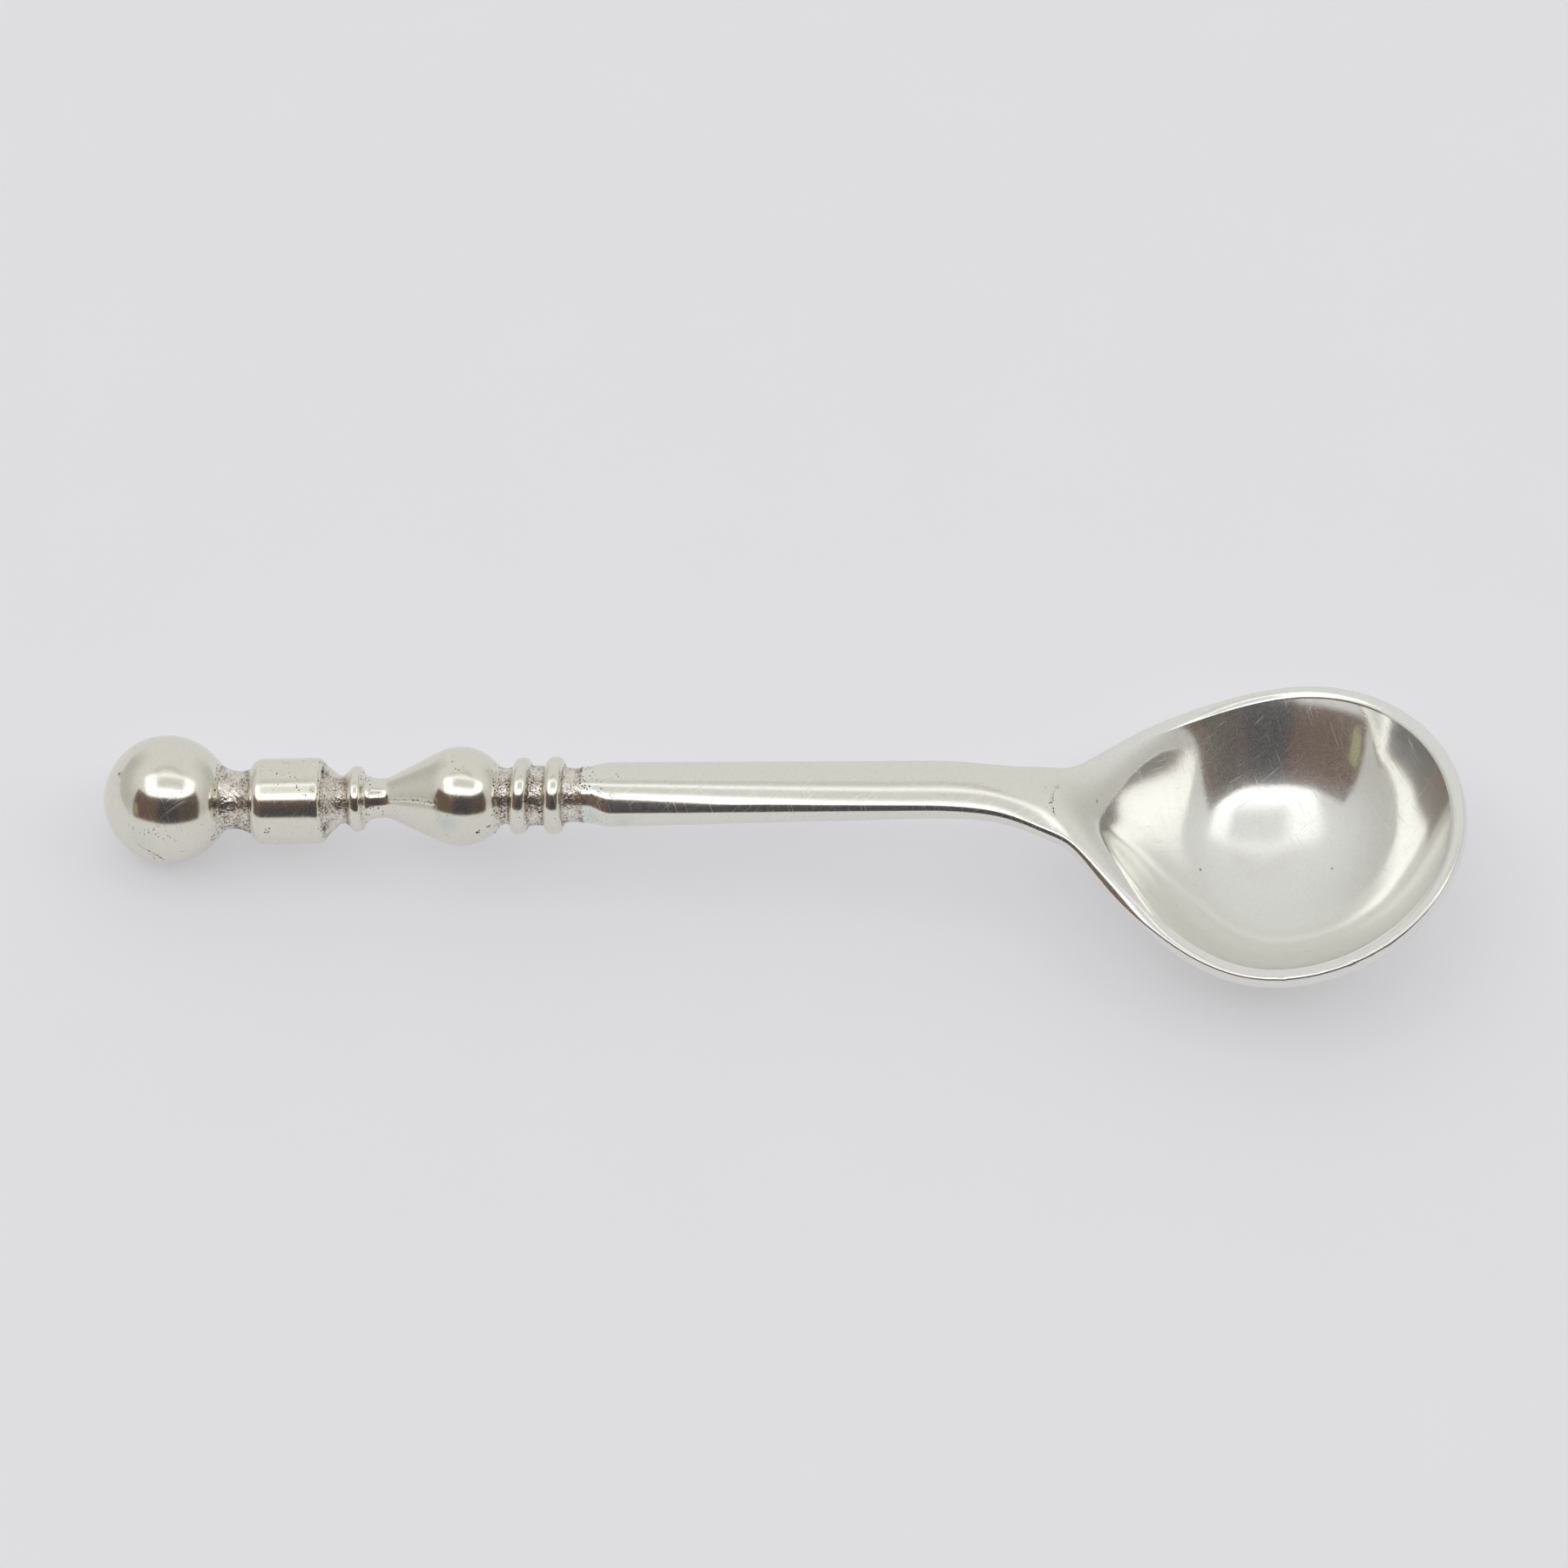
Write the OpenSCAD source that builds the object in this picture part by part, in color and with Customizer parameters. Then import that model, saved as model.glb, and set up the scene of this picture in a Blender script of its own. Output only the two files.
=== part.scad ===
// Small silver condiment spoon: a round dished bowl, a bent bar stem and a knop of turned beads on a hidden peg.
// Millimetres, +Z up. The spoon lies as it rests: the ball and the worn underside of the bowl touch z = 0.
// The origin is at the bottom centre of its box, with the ball towards -X and the bowl towards +X.

/* [Bowl] */
// Outer radius of the bowl at its rim
bowl_r = 9.17; // [8.4:0.01:10.5]
// Depth of the dish below the rim, at mid wall
bowl_depth = 4.75; // [4:0.05:5.8]
// Angle of the wall at the rim, in degrees from the plane of the rim
wall_a = 56; // [51:1:62]
// Thickness of the wall
rim_t = 0.96; // [0.7:0.02:1.2]
// Edge of the rim: 2 is round, and less is filed to a ridge between a flat top and a flat side
rim_ridge = 1.4; // [1.2:0.1:2]
// How far the heel reaches back past a plain round bowl
heel_ext = 3.5; // [2.4:0.1:3.8]
// How far the hollow reaches back past a plain round one
hollow_ext = 1.3; // [0.8:0.1:1.8]
// How far the hollow's edge at the heel bows forward towards the sides
hollow_bow = 2; // [0:0.1:3]
// Rise of the rim towards the tip, in degrees from the handle's axis
rim_tilt = 7.5; // [2:0.1:10]
// Drop of the rim's middle below the handle's axis
rim_drop = 4.8; // [3.5:0.1:6]
// Diameter of the flat worn under the bowl
wear_flat_d = 3; // [2:0.1:4]

/* [Stem] */
// Length of the stem from its neck to the joint with the bowl's heel
stem_len = 23.2; // [18:0.1:32]
// Width of the stem at the knop end
stem_w = 3.56; // [3.4:0.02:4]
// Height of the stem at the knop end
stem_h = 2.96; // [2.7:0.02:3.4]
// Edge radius of the stem at the knop end
stem_edge_r = 1.15; // [0.9:0.05:1.3]
// Width of the stem at its narrowest, before it flares
waist_w = 3.26; // [3:0.02:3.6]
// Width to which the stem flares at the bowl's heel
heel_w = 4.9; // [4.4:0.02:5.4]
// Height of the stem at the joint with the bowl
heel_h = 1.64; // [1.3:0.02:2]
// Edge radius of the stem at the joint with the bowl
heel_edge_r = 0.5; // [0.4:0.02:0.6]
// Length of the rounded shoulder where the stem rises from its neck
shoulder_len = 1.3; // [0.8:0.1:2]
// Step of the rounded shoulder
shoulder_step = 0.24; // [0.1:0.02:0.4]
// How far before the joint the bend starts
bend_lead = 6.3; // [4:0.1:8]
// Length of the bend, from the straight stem into the bowl
bend_len = 19.9; // [17:0.1:23]
// How far before the joint the flare starts
flare_lead = 3.05; // [2:0.05:6]
// Length of the flare
flare_len = 6.5; // [5:0.1:8]
// Distance from the joint to the start of the hollow
hollow_lead = 0.6; // [0.3:0.1:1.5]
// Length over which the stem's flat top turns into the hollow
hollow_ease = 4; // [3:0.1:6]
// Length over which the thick heel thins down to the bowl's wall
heel_ease = 7; // [5:0.1:9]

/* [Knop] */
// Diameter of the end ball
ball_d = 6.6; // [6:0.05:7.5]
// Diameter of the flat seat on the ball for its neck
ball_seat_d = 3.4; // [3.1:0.05:3.8]
// Length of the neck between ball and barrel
ball_neck_len = 1.58; // [1.2:0.02:2]
// Waist of the neck between ball and barrel
ball_neck_d = 2.96; // [2.6:0.02:3.04]
// Length of the barrel
barrel_len = 3.78; // [3:0.02:4.6]
// Diameter of the barrel
barrel_d = 4.43; // [4.1:0.02:5]
// Corner radius of the barrel on the ball's side
barrel_round = 0.6; // [0.3:0.05:0.8]
// Corner radius of the barrel on the spool's side
barrel_lip = 0.28; // [0.1:0.02:0.3]
// Length of the spool between barrel and neck ring
barrel_neck_len = 1.34; // [1:0.02:1.8]
// Diameter of the spool at the barrel, from where it narrows as a cone
barrel_cone_d = 3.8; // [3.2:0.05:3.85]
// End diameter of the spool at the neck ring
barrel_neck_end_d = 2.9; // [2.75:0.05:3.2]
// Waist of the spool between barrel and neck ring
barrel_neck_d = 2.36; // [2.2:0.02:2.7]
// Width of the neck ring
neck_ring_len = 0.7; // [0.6:0.02:0.9]
// Diameter of the neck ring
neck_ring_d = 3.42; // [3.3:0.02:3.9]
// Corner radius of the neck ring
neck_ring_round = 0.26; // [0.1:0.02:0.28]
// Diameter of the baluster's thin end
baluster_thin_d = 2.04; // [1.9:0.02:2.4]
// Length of the baluster's thin end
baluster_thin_len = 1.25; // [0.8:0.05:1.6]
// Length of the baluster from its thin end to the middle of its belly
baluster_cone_len = 3.75; // [3.2:0.05:4.6]
// Diameter of the baluster's belly
baluster_d = 5.12; // [4.7:0.02:5.6]
// Diameter of the flat seat behind the belly
baluster_seat_d = 2.96; // [2.94:0.02:3.2]
// Length of the neck between baluster and rear collar
baluster_neck_len = 0.58; // [0.4:0.02:0.8]
// Waist of the neck between baluster and rear collar
baluster_neck_d = 2.8; // [2.5:0.02:2.9]
// Width of the rear collar
rear_collar_len = 0.9; // [0.8:0.02:1.2]
// Diameter of the rear collar
rear_collar_d = 3.95; // [3.8:0.02:4.4]
// Corner radius of both collars
collar_round = 0.34; // [0.15:0.02:0.38]
// Length of the spacer between the collars
collar_spacer_len = 0.83; // [0.6:0.02:1.1]
// Diameter of the spacer between the collars
collar_spacer_d = 3.04; // [2.9:0.02:3.1]
// Width of the front collar
front_collar_len = 0.94; // [0.8:0.02:1.2]
// Diameter of the front collar
front_collar_d = 3.98; // [3.8:0.02:4.4]
// Length of the neck between front collar and stem
stem_neck_len = 1.06; // [0.8:0.02:1.4]
// End diameter of the neck between front collar and stem
stem_neck_end_d = 2.9; // [2.76:0.02:2.96]
// Waist of the neck between front collar and stem
stem_neck_d = 2.72; // [2.5:0.02:2.74]

/* [Peg] */
// Diameter of the hidden peg
peg_d = 1.2; // [1:0.05:1.4]
// Solder gap round the peg
solder_gap = 0.03; // [0.02:0.01:0.06]
// Depth of the peg's hole in the stem
stem_hole_depth = 5; // [3:0.1:8]
// Depth of the peg's hole in the ball, from its seat
ball_hole_depth = 3.4; // [2:0.1:4.5]
// Solder gap past each end of the peg
peg_end_gap = 0.2; // [0.1:0.05:0.4]

/* [Hidden] */

// Place of the spool's waist along it, as a share of its length
spool_waist = 0.62;

// Colours of the polished silver and of the rough cast necks
polished = [0.86, 0.85, 0.82];
as_cast = [0.68, 0.65, 0.6];

// Fineness of the turned beads and of the hammered body
turned_fn = 96;
across_steps = 20;
edge_steps = 6;
stem_steps = 24;
heel_steps = 32;
front_steps = 14;

// Shape of the body's curves: how the height tapers, how heel and bowl outlines blend, how crisp the edge of the
// hollow at the heel is, step of a slope
height_power = 1.5;
outline_blend = 3.85;
hollow_edge = 16;
slope_step = 0.01;
least_crown = 0.02;

// Places along the handle's axis, from the middle of the ball
ball_r = ball_d / 2;
ball_seat_x = sqrt(ball_r * ball_r - ball_seat_d * ball_seat_d / 4);
barrel_x = ball_seat_x + ball_neck_len;
barrel_neck_x = barrel_x + barrel_len;
neck_ring_x = barrel_neck_x + barrel_neck_len;
baluster_x = neck_ring_x + neck_ring_len;
belly_r = baluster_d / 2;
belly_run = baluster_thin_len + baluster_cone_len;
baluster_len = belly_run + sqrt(belly_r * belly_r - baluster_seat_d * baluster_seat_d / 4);
baluster_neck_x = baluster_x + baluster_len;
rear_collar_x = baluster_neck_x + baluster_neck_len;
collar_spacer_x = rear_collar_x + rear_collar_len;
front_collar_x = collar_spacer_x + collar_spacer_len;
stem_neck_x = front_collar_x + front_collar_len;
stem_x = stem_neck_x + stem_neck_len;
joint_x = stem_x + stem_len;
hollow_x = joint_x + hollow_lead;
bend_x = joint_x - bend_lead;
flare_x = joint_x - flare_lead;

// Bowl: a dish with a flat floor and a steeper wall, whose share of the fourth power gives the wall its angle.
// Its round outline is drawn out towards the heel, further than its hollow
hole_d = peg_d + 2 * solder_gap;
rim_r = bowl_r - rim_t / 2;
wall_share = tan(wall_a) * rim_r / (2 * bowl_depth) - 1;
floor_r = rim_r * rim_r / (2 * bowl_depth * (1 - wall_share));
heel_reach = rim_r + heel_ext;
heel_pace = heel_reach / rim_r;
hollow_reach = rim_r + hollow_ext;
bowl_x = hollow_x + heel_reach;
under_r = floor_r + rim_t / 2;
wear_depth = under_r - sqrt(under_r * under_r - wear_flat_d * wear_flat_d / 4);

// Smooth step from 0 to 1 with no sudden change of curvature
function ease(t) = let (u = min(1, max(0, t))) u * u * u * (u * (u * 6 - 15) + 10);

function unit(v) = v / norm(v);

// Height of the edge line: the straight handle, then the bend down to the tilted rim
function edge_z(x) = ease((x - bend_x) / bend_len) * (tan(rim_tilt) * (x - bowl_x) - rim_drop);

// Along the stem, 0 at its neck and 1 at the joint
function along_stem(x) = min(1, max(0, (x - stem_x) / stem_len));

// Radius of the rounded edge, from the knop end over the heel to the rim
function edge_r(x) = let (heel = ease((x - joint_x) / heel_ease))
    (stem_edge_r + (heel_edge_r - stem_edge_r) * along_stem(x)) * (1 - heel) + rim_t / 2 * heel;

// Rounded shoulder at the knop end: how much smaller the section is there
function shoulder(x) = let (left = max(0, 1 - (x - stem_x) / shoulder_len)) shoulder_step * left * left;

// Half width of the bar, between the centres of its rounded edges
function bar_w(x) = let (slim = min(1, (x - stem_x) / (flare_x - stem_x)))
    (stem_w + (waist_w - stem_w) * slim + (heel_w - waist_w) * ease((x - flare_x) / flare_len)) / 2
    - shoulder(x) - edge_r(x);

// Half height of the bar, without its rounded edge
function bar_h(x) = max(least_crown,
    (heel_h + (stem_h - heel_h) * pow(1 - along_stem(x), height_power)) / 2 - shoulder(x) - edge_r(x));

// Place on the round dish that a place along the drawn-out bowl stands for. Behind the middle it follows a
// fifth-order curve, which starts at the front half's pace and comes to a stop at the heel
function heel_curve(u) = u * (heel_pace + u * u * (2.5 - 2 * heel_pace + u * u * (heel_pace - 1.5)));
function dish_x(x) = let (d = max(-heel_reach, x - bowl_x)) d >= 0 ? d : rim_r * heel_curve(d / heel_reach);

// Half width of the bowl's outline, and of bar and bowl together
function bowl_w(x) = sqrt(max(0, rim_r * rim_r - pow(dish_x(x), 2)));
function sheet_w(x) = let (bar = bar_w(x) * max(0, 1 - ease((x - hollow_x) / heel_reach)))
    pow(pow(bowl_w(x), outline_blend) + pow(bar, outline_blend), 1 / outline_blend);

// Squared way out from the middle of the hollow, 1 at its edge. In front it is round. Behind it runs up to the
// hollow's edge at the heel, and past that it stays at 1
function way_across(x, y) = let (w = sheet_w(x)) w > 0 ? pow(y / w, 2) : 0;
function way_back(x, across) = let (v = (bowl_x - x) / (hollow_reach - hollow_bow * across))
    pow(v, 2) * pow(1 + pow(v, hollow_edge), -2 / hollow_edge);
function way_out(x, y) = x >= bowl_x
    ? (pow(x - bowl_x, 2) + y * y) / (rim_r * rim_r)
    : let (across = way_across(x, y), back = way_back(x, across)) back + (1 - back) * across;

// Depth of the dish below the edge line
function dish(x, y) = let (q = way_out(x, y)) bowl_depth * (1 - q) * (1 + wall_share * q);

// How far the hollow has taken over from the bar, and the height of the bar's crown
function hollow(x) = ease((x - joint_x) / hollow_ease);
function thick_heel(x) = 1 - ease((x - joint_x) / heel_ease);
function crown(x, y) = bar_h(x) * (1 - pow(y / sheet_w(x), 2));

// Upper and lower sheet of the body, to which the rounded edge adds its radius
function top_z(x, y) = let (deep = hollow(x))
    edge_z(x) + (deep < 1 ? (1 - deep) * crown(x, y) : 0) - (deep > 0 ? deep * dish(x, y) : 0);
function low_z(x, y) = let (deep = hollow(x), thick = thick_heel(x))
    edge_z(x) - (thick > 0 ? thick * crown(x, y) : 0) - (deep > 0 ? deep * dish(x, y) : 0);

// Slopes of both sheets at a point, and their upward normals. The stem's sections stay square to its axis
function lean(x) = ease((x - joint_x) / heel_ease);
function top_normal(x, y) = unit([
    -lean(x) * (top_z(x + slope_step, y) - top_z(x - slope_step, y)) / (2 * slope_step),
    -(top_z(x, y + slope_step) - top_z(x, y - slope_step)) / (2 * slope_step),
    1
]);
function low_normal(x, y) = unit([
    -lean(x) * (low_z(x + slope_step, y) - low_z(x - slope_step, y)) / (2 * slope_step),
    -(low_z(x, y + slope_step) - low_z(x, y - slope_step)) / (2 * slope_step),
    1
]);

// Direction of the edge line at its +Y side
function edge_slope(x) = (edge_z(x + slope_step) - edge_z(x - slope_step)) / (2 * slope_step);
function edge_run(x) = x >= bowl_x
    ? unit([bowl_w(x), bowl_x - x, edge_slope(x) * bowl_w(x)])
    : unit([1, lean(x) * (sheet_w(x + slope_step) - sheet_w(x - slope_step)) / (2 * slope_step),
            lean(x) * edge_slope(x)]);

// Reach of the edge's outline from 0 to 180 degrees, as a share of its radius, and its shape along the body
function edge_reach(a, shape) = pow(pow(abs(cos(a)), shape) + pow(abs(sin(a)), shape), -1 / shape);
function edge_shape(x) = 2 + (rim_ridge - 2) * lean(x);

// Points round the edge from the upper to the lower sheet, for an edge point, its run and both normals
function edge_arc(point, r, run, up, down) = let (
        mid = unit(up + down),
        out = unit(cross(mid, run)),
        first = atan2(up * out, up * mid),
        last = (atan2(-down * out, -down * mid) + 360) % 360,
        shape = edge_shape(point.x)
    ) [for (k = [0:edge_steps]) let (a = first + (last - first) * k / edge_steps)
        point + r * edge_reach(180 * k / edge_steps, shape) * (cos(a) * mid + sin(a) * out)];

// One closed section of the body: upper sheet, +Y edge, lower sheet, -Y edge
function mirror_y(points) = [for (p = points) [p.x, -p.y, p.z]];
function backwards(points) = [for (k = [len(points) - 1:-1:0]) points[k]];
function section(x) = let (
        w = sheet_w(x),
        r = edge_r(x),
        ys = [for (k = [1:across_steps - 1]) w * sin(180 * k / across_steps - 90)],
        tops = [for (y = ys) [x, y, top_z(x, y)] + r * top_normal(x, y)],
        lows = [for (y = ys) [x, y, low_z(x, y)] - r * low_normal(x, y)],
        arc = edge_arc([x, w, edge_z(x)], r, edge_run(x), top_normal(x, w), low_normal(x, w))
    ) concat(tops, arc, backwards(lows), backwards(mirror_y(arc)));

// The points round the edge at the very tip of the bowl
tip_x = bowl_x + rim_r;
tip_arc = edge_arc([tip_x, 0, edge_z(tip_x)], rim_t / 2, [0, -1, 0], top_normal(tip_x, 0), low_normal(tip_x, 0));

stem_stations = [for (k = [0:stem_steps]) stem_x + stem_len * k / stem_steps];
bowl_stations = concat(
    [for (k = [0:heel_steps]) joint_x + (bowl_x - joint_x) * k / heel_steps],
    [for (k = [1:front_steps - 1]) bowl_x + rim_r * sin(90 * k / front_steps)]
);
stem_sections = [for (x = stem_stations) section(x)];
bowl_sections = [for (x = bowl_stations) section(x)];
ring = len(stem_sections[0]);
row = across_steps - 1;

// Two triangles for each step round and along a row of sections
function skin_faces(count) = [
    for (i = [0:count - 2], k = [0:ring - 1]) let (a = i * ring + k, b = i * ring + (k + 1) % ring)
        for (face = [[a, b, a + ring], [b, b + ring, a + ring]]) face
];

// Faces that close the last section of the bowl onto the points of its tip
function tip_faces(first, tip) = concat(
    [for (k = [0:row]) [first + (k + ring - 1) % ring, first + k, tip]],
    [for (k = [0:edge_steps - 1]) each [
        [first + row + k, first + row + k + 1, tip + k],
        [first + row + k + 1, tip + k + 1, tip + k],
        [first + ring - 1 - k, tip + k, first + ring - 2 - k],
        [first + ring - 2 - k, tip + k, tip + k + 1]
    ]],
    [for (k = [0:row]) let (a = first + row + edge_steps + k) [a, a + 1, tip + edge_steps]]
);

stem_points = [for (s = stem_sections) each s];
bowl_points = concat([for (s = bowl_sections) each s], tip_arc);

// Rest: the table touches the ball and, at the depth of wear, the underside of the bowl
function touch_angle(p) = asin(-(ball_r + wear_depth) / norm([p.x, p.z])) - atan2(p.z, p.x);
rest_pitch = max([for (p = bowl_points) touch_angle(p)]);
rest_tip_x = max([for (p = tip_arc) p.x * cos(rest_pitch) - p.z * sin(rest_pitch)]);
rest_x = (ball_r - rest_tip_x) / 2;

// Puts a piece from the handle's frame, with the ball's middle at its origin, to its place at rest
module at_rest() {
    translate([rest_x, 0, ball_r]) rotate([0, -rest_pitch, 0]) children();
}

// Turns a half section, drawn with its radius along X and its length along Y, about the handle's axis
module turned(x) {
    at_rest() translate([x, 0, 0]) rotate([0, 90, 0]) rotate_extrude($fn = turned_fn) children();
}

// The peg's hole in a bead
module without_hole(length) {
    difference() {
        children();
        translate([-hole_d, -length]) square([1.5 * hole_d, 3 * length]);
    }
}

// Half section of a bead with round corners at its start and end
module bead_section(length, d, start_r, end_r) {
    without_hole(length) {
        square([d / 2 - start_r, length - end_r]);
        translate([0, start_r]) square([d / 2, length - start_r - end_r]);
        translate([0, start_r]) square([d / 2 - end_r, length - start_r]);
        translate([d / 2 - start_r, start_r]) circle(start_r, $fn = turned_fn);
        translate([d / 2 - end_r, length - end_r]) circle(end_r, $fn = turned_fn);
    }
}

// Half section of a spool that narrows as a cone to its waist and flares in a hollow curve to its end
module spool_section(length, start_d, waist_d, end_d) {
    waist_y = length * spool_waist;
    flare_len = length - waist_y;
    step = (end_d - waist_d) / 2;
    flare_r = (flare_len * flare_len + step * step) / (2 * step);
    without_hole(length) {
        polygon([[0, 0], [start_d / 2, 0], [waist_d / 2, waist_y], [0, waist_y]]);
        translate([0, waist_y]) difference() {
            square([end_d / 2, flare_len]);
            translate([waist_d / 2 + flare_r, 0]) circle(flare_r, $fn = turned_fn);
        }
    }
}

// Half section of a neck that narrows to a round waist
module neck_section(length, end_d, waist_d) {
    step = (end_d - waist_d) / 2;
    hollow_r = (length * length / 4 + step * step) / (2 * step);
    without_hole(length) difference() {
        square([end_d / 2, length]);
        translate([waist_d / 2 + hollow_r, length / 2]) circle(hollow_r, $fn = turned_fn);
    }
}

// The peg's hole in a solid piece, from x along the handle's axis
module peg_hole(x, depth) {
    translate([x, 0, 0]) rotate([0, 90, 0]) cylinder(d = hole_d, h = depth, $fn = turned_fn);
}

module bowl() {
    reach = 2 * tip_x;
    color(polished) difference() {
        at_rest() polyhedron(
            points = bowl_points,
            faces = concat(
                [[for (k = [ring - 1:-1:0]) k]],
                skin_faces(len(bowl_stations)),
                tip_faces((len(bowl_stations) - 1) * ring, len(bowl_stations) * ring)
            )
        );
        translate([-reach / 2, -reach / 2, -reach]) cube(reach);
    }
}

module stem() {
    last = (len(stem_stations) - 1) * ring;
    color(polished) at_rest() difference() {
        polyhedron(
            points = stem_points,
            faces = concat(
                [[for (k = [ring - 1:-1:0]) k]],
                skin_faces(len(stem_stations)),
                [[for (k = [0:ring - 1]) last + k]]
            )
        );
        peg_hole(stem_x - peg_end_gap, stem_hole_depth + peg_end_gap);
    }
}

module stem_neck() {
    color(as_cast) turned(stem_neck_x) neck_section(stem_neck_len, stem_neck_end_d, stem_neck_d);
}

module front_collar() {
    color(polished) turned(front_collar_x)
        bead_section(front_collar_len, front_collar_d, collar_round, collar_round);
}

module collar_spacer() {
    color(as_cast) turned(collar_spacer_x) without_hole(collar_spacer_len)
        square([collar_spacer_d / 2, collar_spacer_len]);
}

module rear_collar() {
    color(polished) turned(rear_collar_x)
        bead_section(rear_collar_len, rear_collar_d, collar_round, collar_round);
}

module baluster_neck() {
    color(as_cast) turned(baluster_neck_x)
        neck_section(baluster_neck_len, baluster_seat_d, baluster_neck_d);
}

// Teardrop: a thin end, a cone that runs smoothly into a round belly, and a flat seat behind it
module baluster() {
    thin_r = baluster_thin_d / 2;
    cone_a = asin(belly_r / norm([baluster_cone_len, thin_r])) - atan2(thin_r, baluster_cone_len);
    color(polished) turned(baluster_x) without_hole(baluster_len) intersection() {
        union() {
            polygon([
                [0, 0],
                [thin_r, 0],
                [thin_r, baluster_thin_len],
                [belly_r * cos(cone_a), belly_run - belly_r * sin(cone_a)],
                [0, belly_run]
            ]);
            translate([0, belly_run]) circle(belly_r, $fn = turned_fn);
        }
        square([baluster_d, baluster_len]);
    }
}

module neck_ring() {
    color(polished) turned(neck_ring_x)
        bead_section(neck_ring_len, neck_ring_d, neck_ring_round, neck_ring_round);
}

module barrel_neck() {
    color(as_cast) turned(barrel_neck_x)
        spool_section(barrel_neck_len, barrel_cone_d, barrel_neck_d, barrel_neck_end_d);
}

module barrel() {
    color(polished) turned(barrel_x) bead_section(barrel_len, barrel_d, barrel_round, barrel_lip);
}

module ball_neck() {
    color(as_cast) turned(ball_seat_x) neck_section(ball_neck_len, ball_seat_d, ball_neck_d);
}

module ball_knop() {
    color(polished) at_rest() difference() {
        sphere(d = ball_d, $fn = turned_fn);
        translate([ball_seat_x, -ball_r, -ball_r]) cube(ball_d);
        peg_hole(ball_seat_x - ball_hole_depth, ball_hole_depth + peg_end_gap);
    }
}

// Runs from the hole in the ball through every bead into the hole in the stem
module knop_peg() {
    peg_x = ball_seat_x - ball_hole_depth + peg_end_gap;
    peg_end = stem_x + stem_hole_depth - peg_end_gap;
    color(polished) at_rest() translate([peg_x, 0, 0]) rotate([0, 90, 0])
        cylinder(d = peg_d, h = peg_end - peg_x, $fn = turned_fn);
}

bowl();
stem();
stem_neck();
front_collar();
collar_spacer();
rear_collar();
baluster_neck();
baluster();
neck_ring();
barrel_neck();
barrel();
ball_neck();
ball_knop();
knop_peg();
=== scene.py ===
"""Small silver condiment spoon: its looks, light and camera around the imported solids.

Sizes are millimetres in the handle's frame: X along the handle from the middle of the end ball, Y across it
and Z up out of the bowl. Meshes are in metres, in the frame of the solids.
"""

import logging
import math
from collections.abc import Callable
from dataclasses import dataclass
from enum import Enum
from typing import Any

import bpy
import numpy as np
from bpy.types import ID, Material, Mesh, Node, NodeOutputs, NodeSocket, NodeTree, Object
from mathutils import Matrix, Vector


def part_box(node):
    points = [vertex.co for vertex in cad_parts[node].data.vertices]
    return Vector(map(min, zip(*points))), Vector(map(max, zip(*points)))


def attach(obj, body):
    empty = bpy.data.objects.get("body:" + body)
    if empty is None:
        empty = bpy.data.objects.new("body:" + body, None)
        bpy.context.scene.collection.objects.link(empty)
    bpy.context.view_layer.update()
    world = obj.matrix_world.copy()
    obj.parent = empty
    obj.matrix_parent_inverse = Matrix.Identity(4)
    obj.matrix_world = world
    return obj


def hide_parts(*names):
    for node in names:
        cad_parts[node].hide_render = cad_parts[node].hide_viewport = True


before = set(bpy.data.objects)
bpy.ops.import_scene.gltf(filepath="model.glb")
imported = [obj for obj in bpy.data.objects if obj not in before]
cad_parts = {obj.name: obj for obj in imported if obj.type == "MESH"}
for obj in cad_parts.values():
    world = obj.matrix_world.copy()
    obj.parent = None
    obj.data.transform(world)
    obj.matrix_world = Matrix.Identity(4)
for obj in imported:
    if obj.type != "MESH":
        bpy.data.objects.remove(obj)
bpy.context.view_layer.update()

LOG = logging.getLogger("spoon")
MM = 0.001
ROOT = "root"
TARNISH = "tarnish"
SCUFF = "scuff"
PAINTED_REFLECTION = "painted_reflection"
CREASE = math.radians(50)
TINY = 1e-6
Inputs = dict[str | int, Any] | tuple[Any, ...]
MATH = "ShaderNodeMath"
NOISE = "ShaderNodeTexNoise"
RANGE = "ShaderNodeMapRange"
MIX = "ShaderNodeMix"
BUMP = "ShaderNodeBump"
SMOOTH = {"interpolation_type": "SMOOTHSTEP"}


class Slot(Enum):
    """Material slots of the record."""

    POLISHED = "polished_silver"
    CAST = "cast_silver"
    PEG = "peg_silver"


def linear(hex_colour: str) -> tuple[float, float, float, float]:
    """Turns an sRGB hex colour into linear values.

    Args:
        hex_colour: six hex digits after a hash sign.

    Returns:
        Red, green, blue and an alpha of one.
    """
    parts = [int(hex_colour[i:i + 2], 16) / 255 for i in (1, 3, 5)]
    return (*(c / 12.92 if c <= 0.04045 else ((c + 0.055) / 1.055) ** 2.4 for c in parts), 1.0)


def per_mm(size: float) -> float:
    """Gives the scale of a pattern, on coordinates in metres, whose features are size millimetres wide."""
    return 1 / (size * MM)


def set_inputs(tree: NodeTree, node: Node, inputs: Inputs) -> None:
    """Sets or links the inputs of a node.

    Args:
        tree: the node's tree.
        node: the node.
        inputs: a value or an output socket for each input, in order, or by name or index.
    """
    for key, value in inputs.items() if isinstance(inputs, dict) else enumerate(inputs):
        if isinstance(value, NodeSocket):
            tree.links.new(value, node.inputs[key])
        else:
            node.inputs[key].default_value = value


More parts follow.
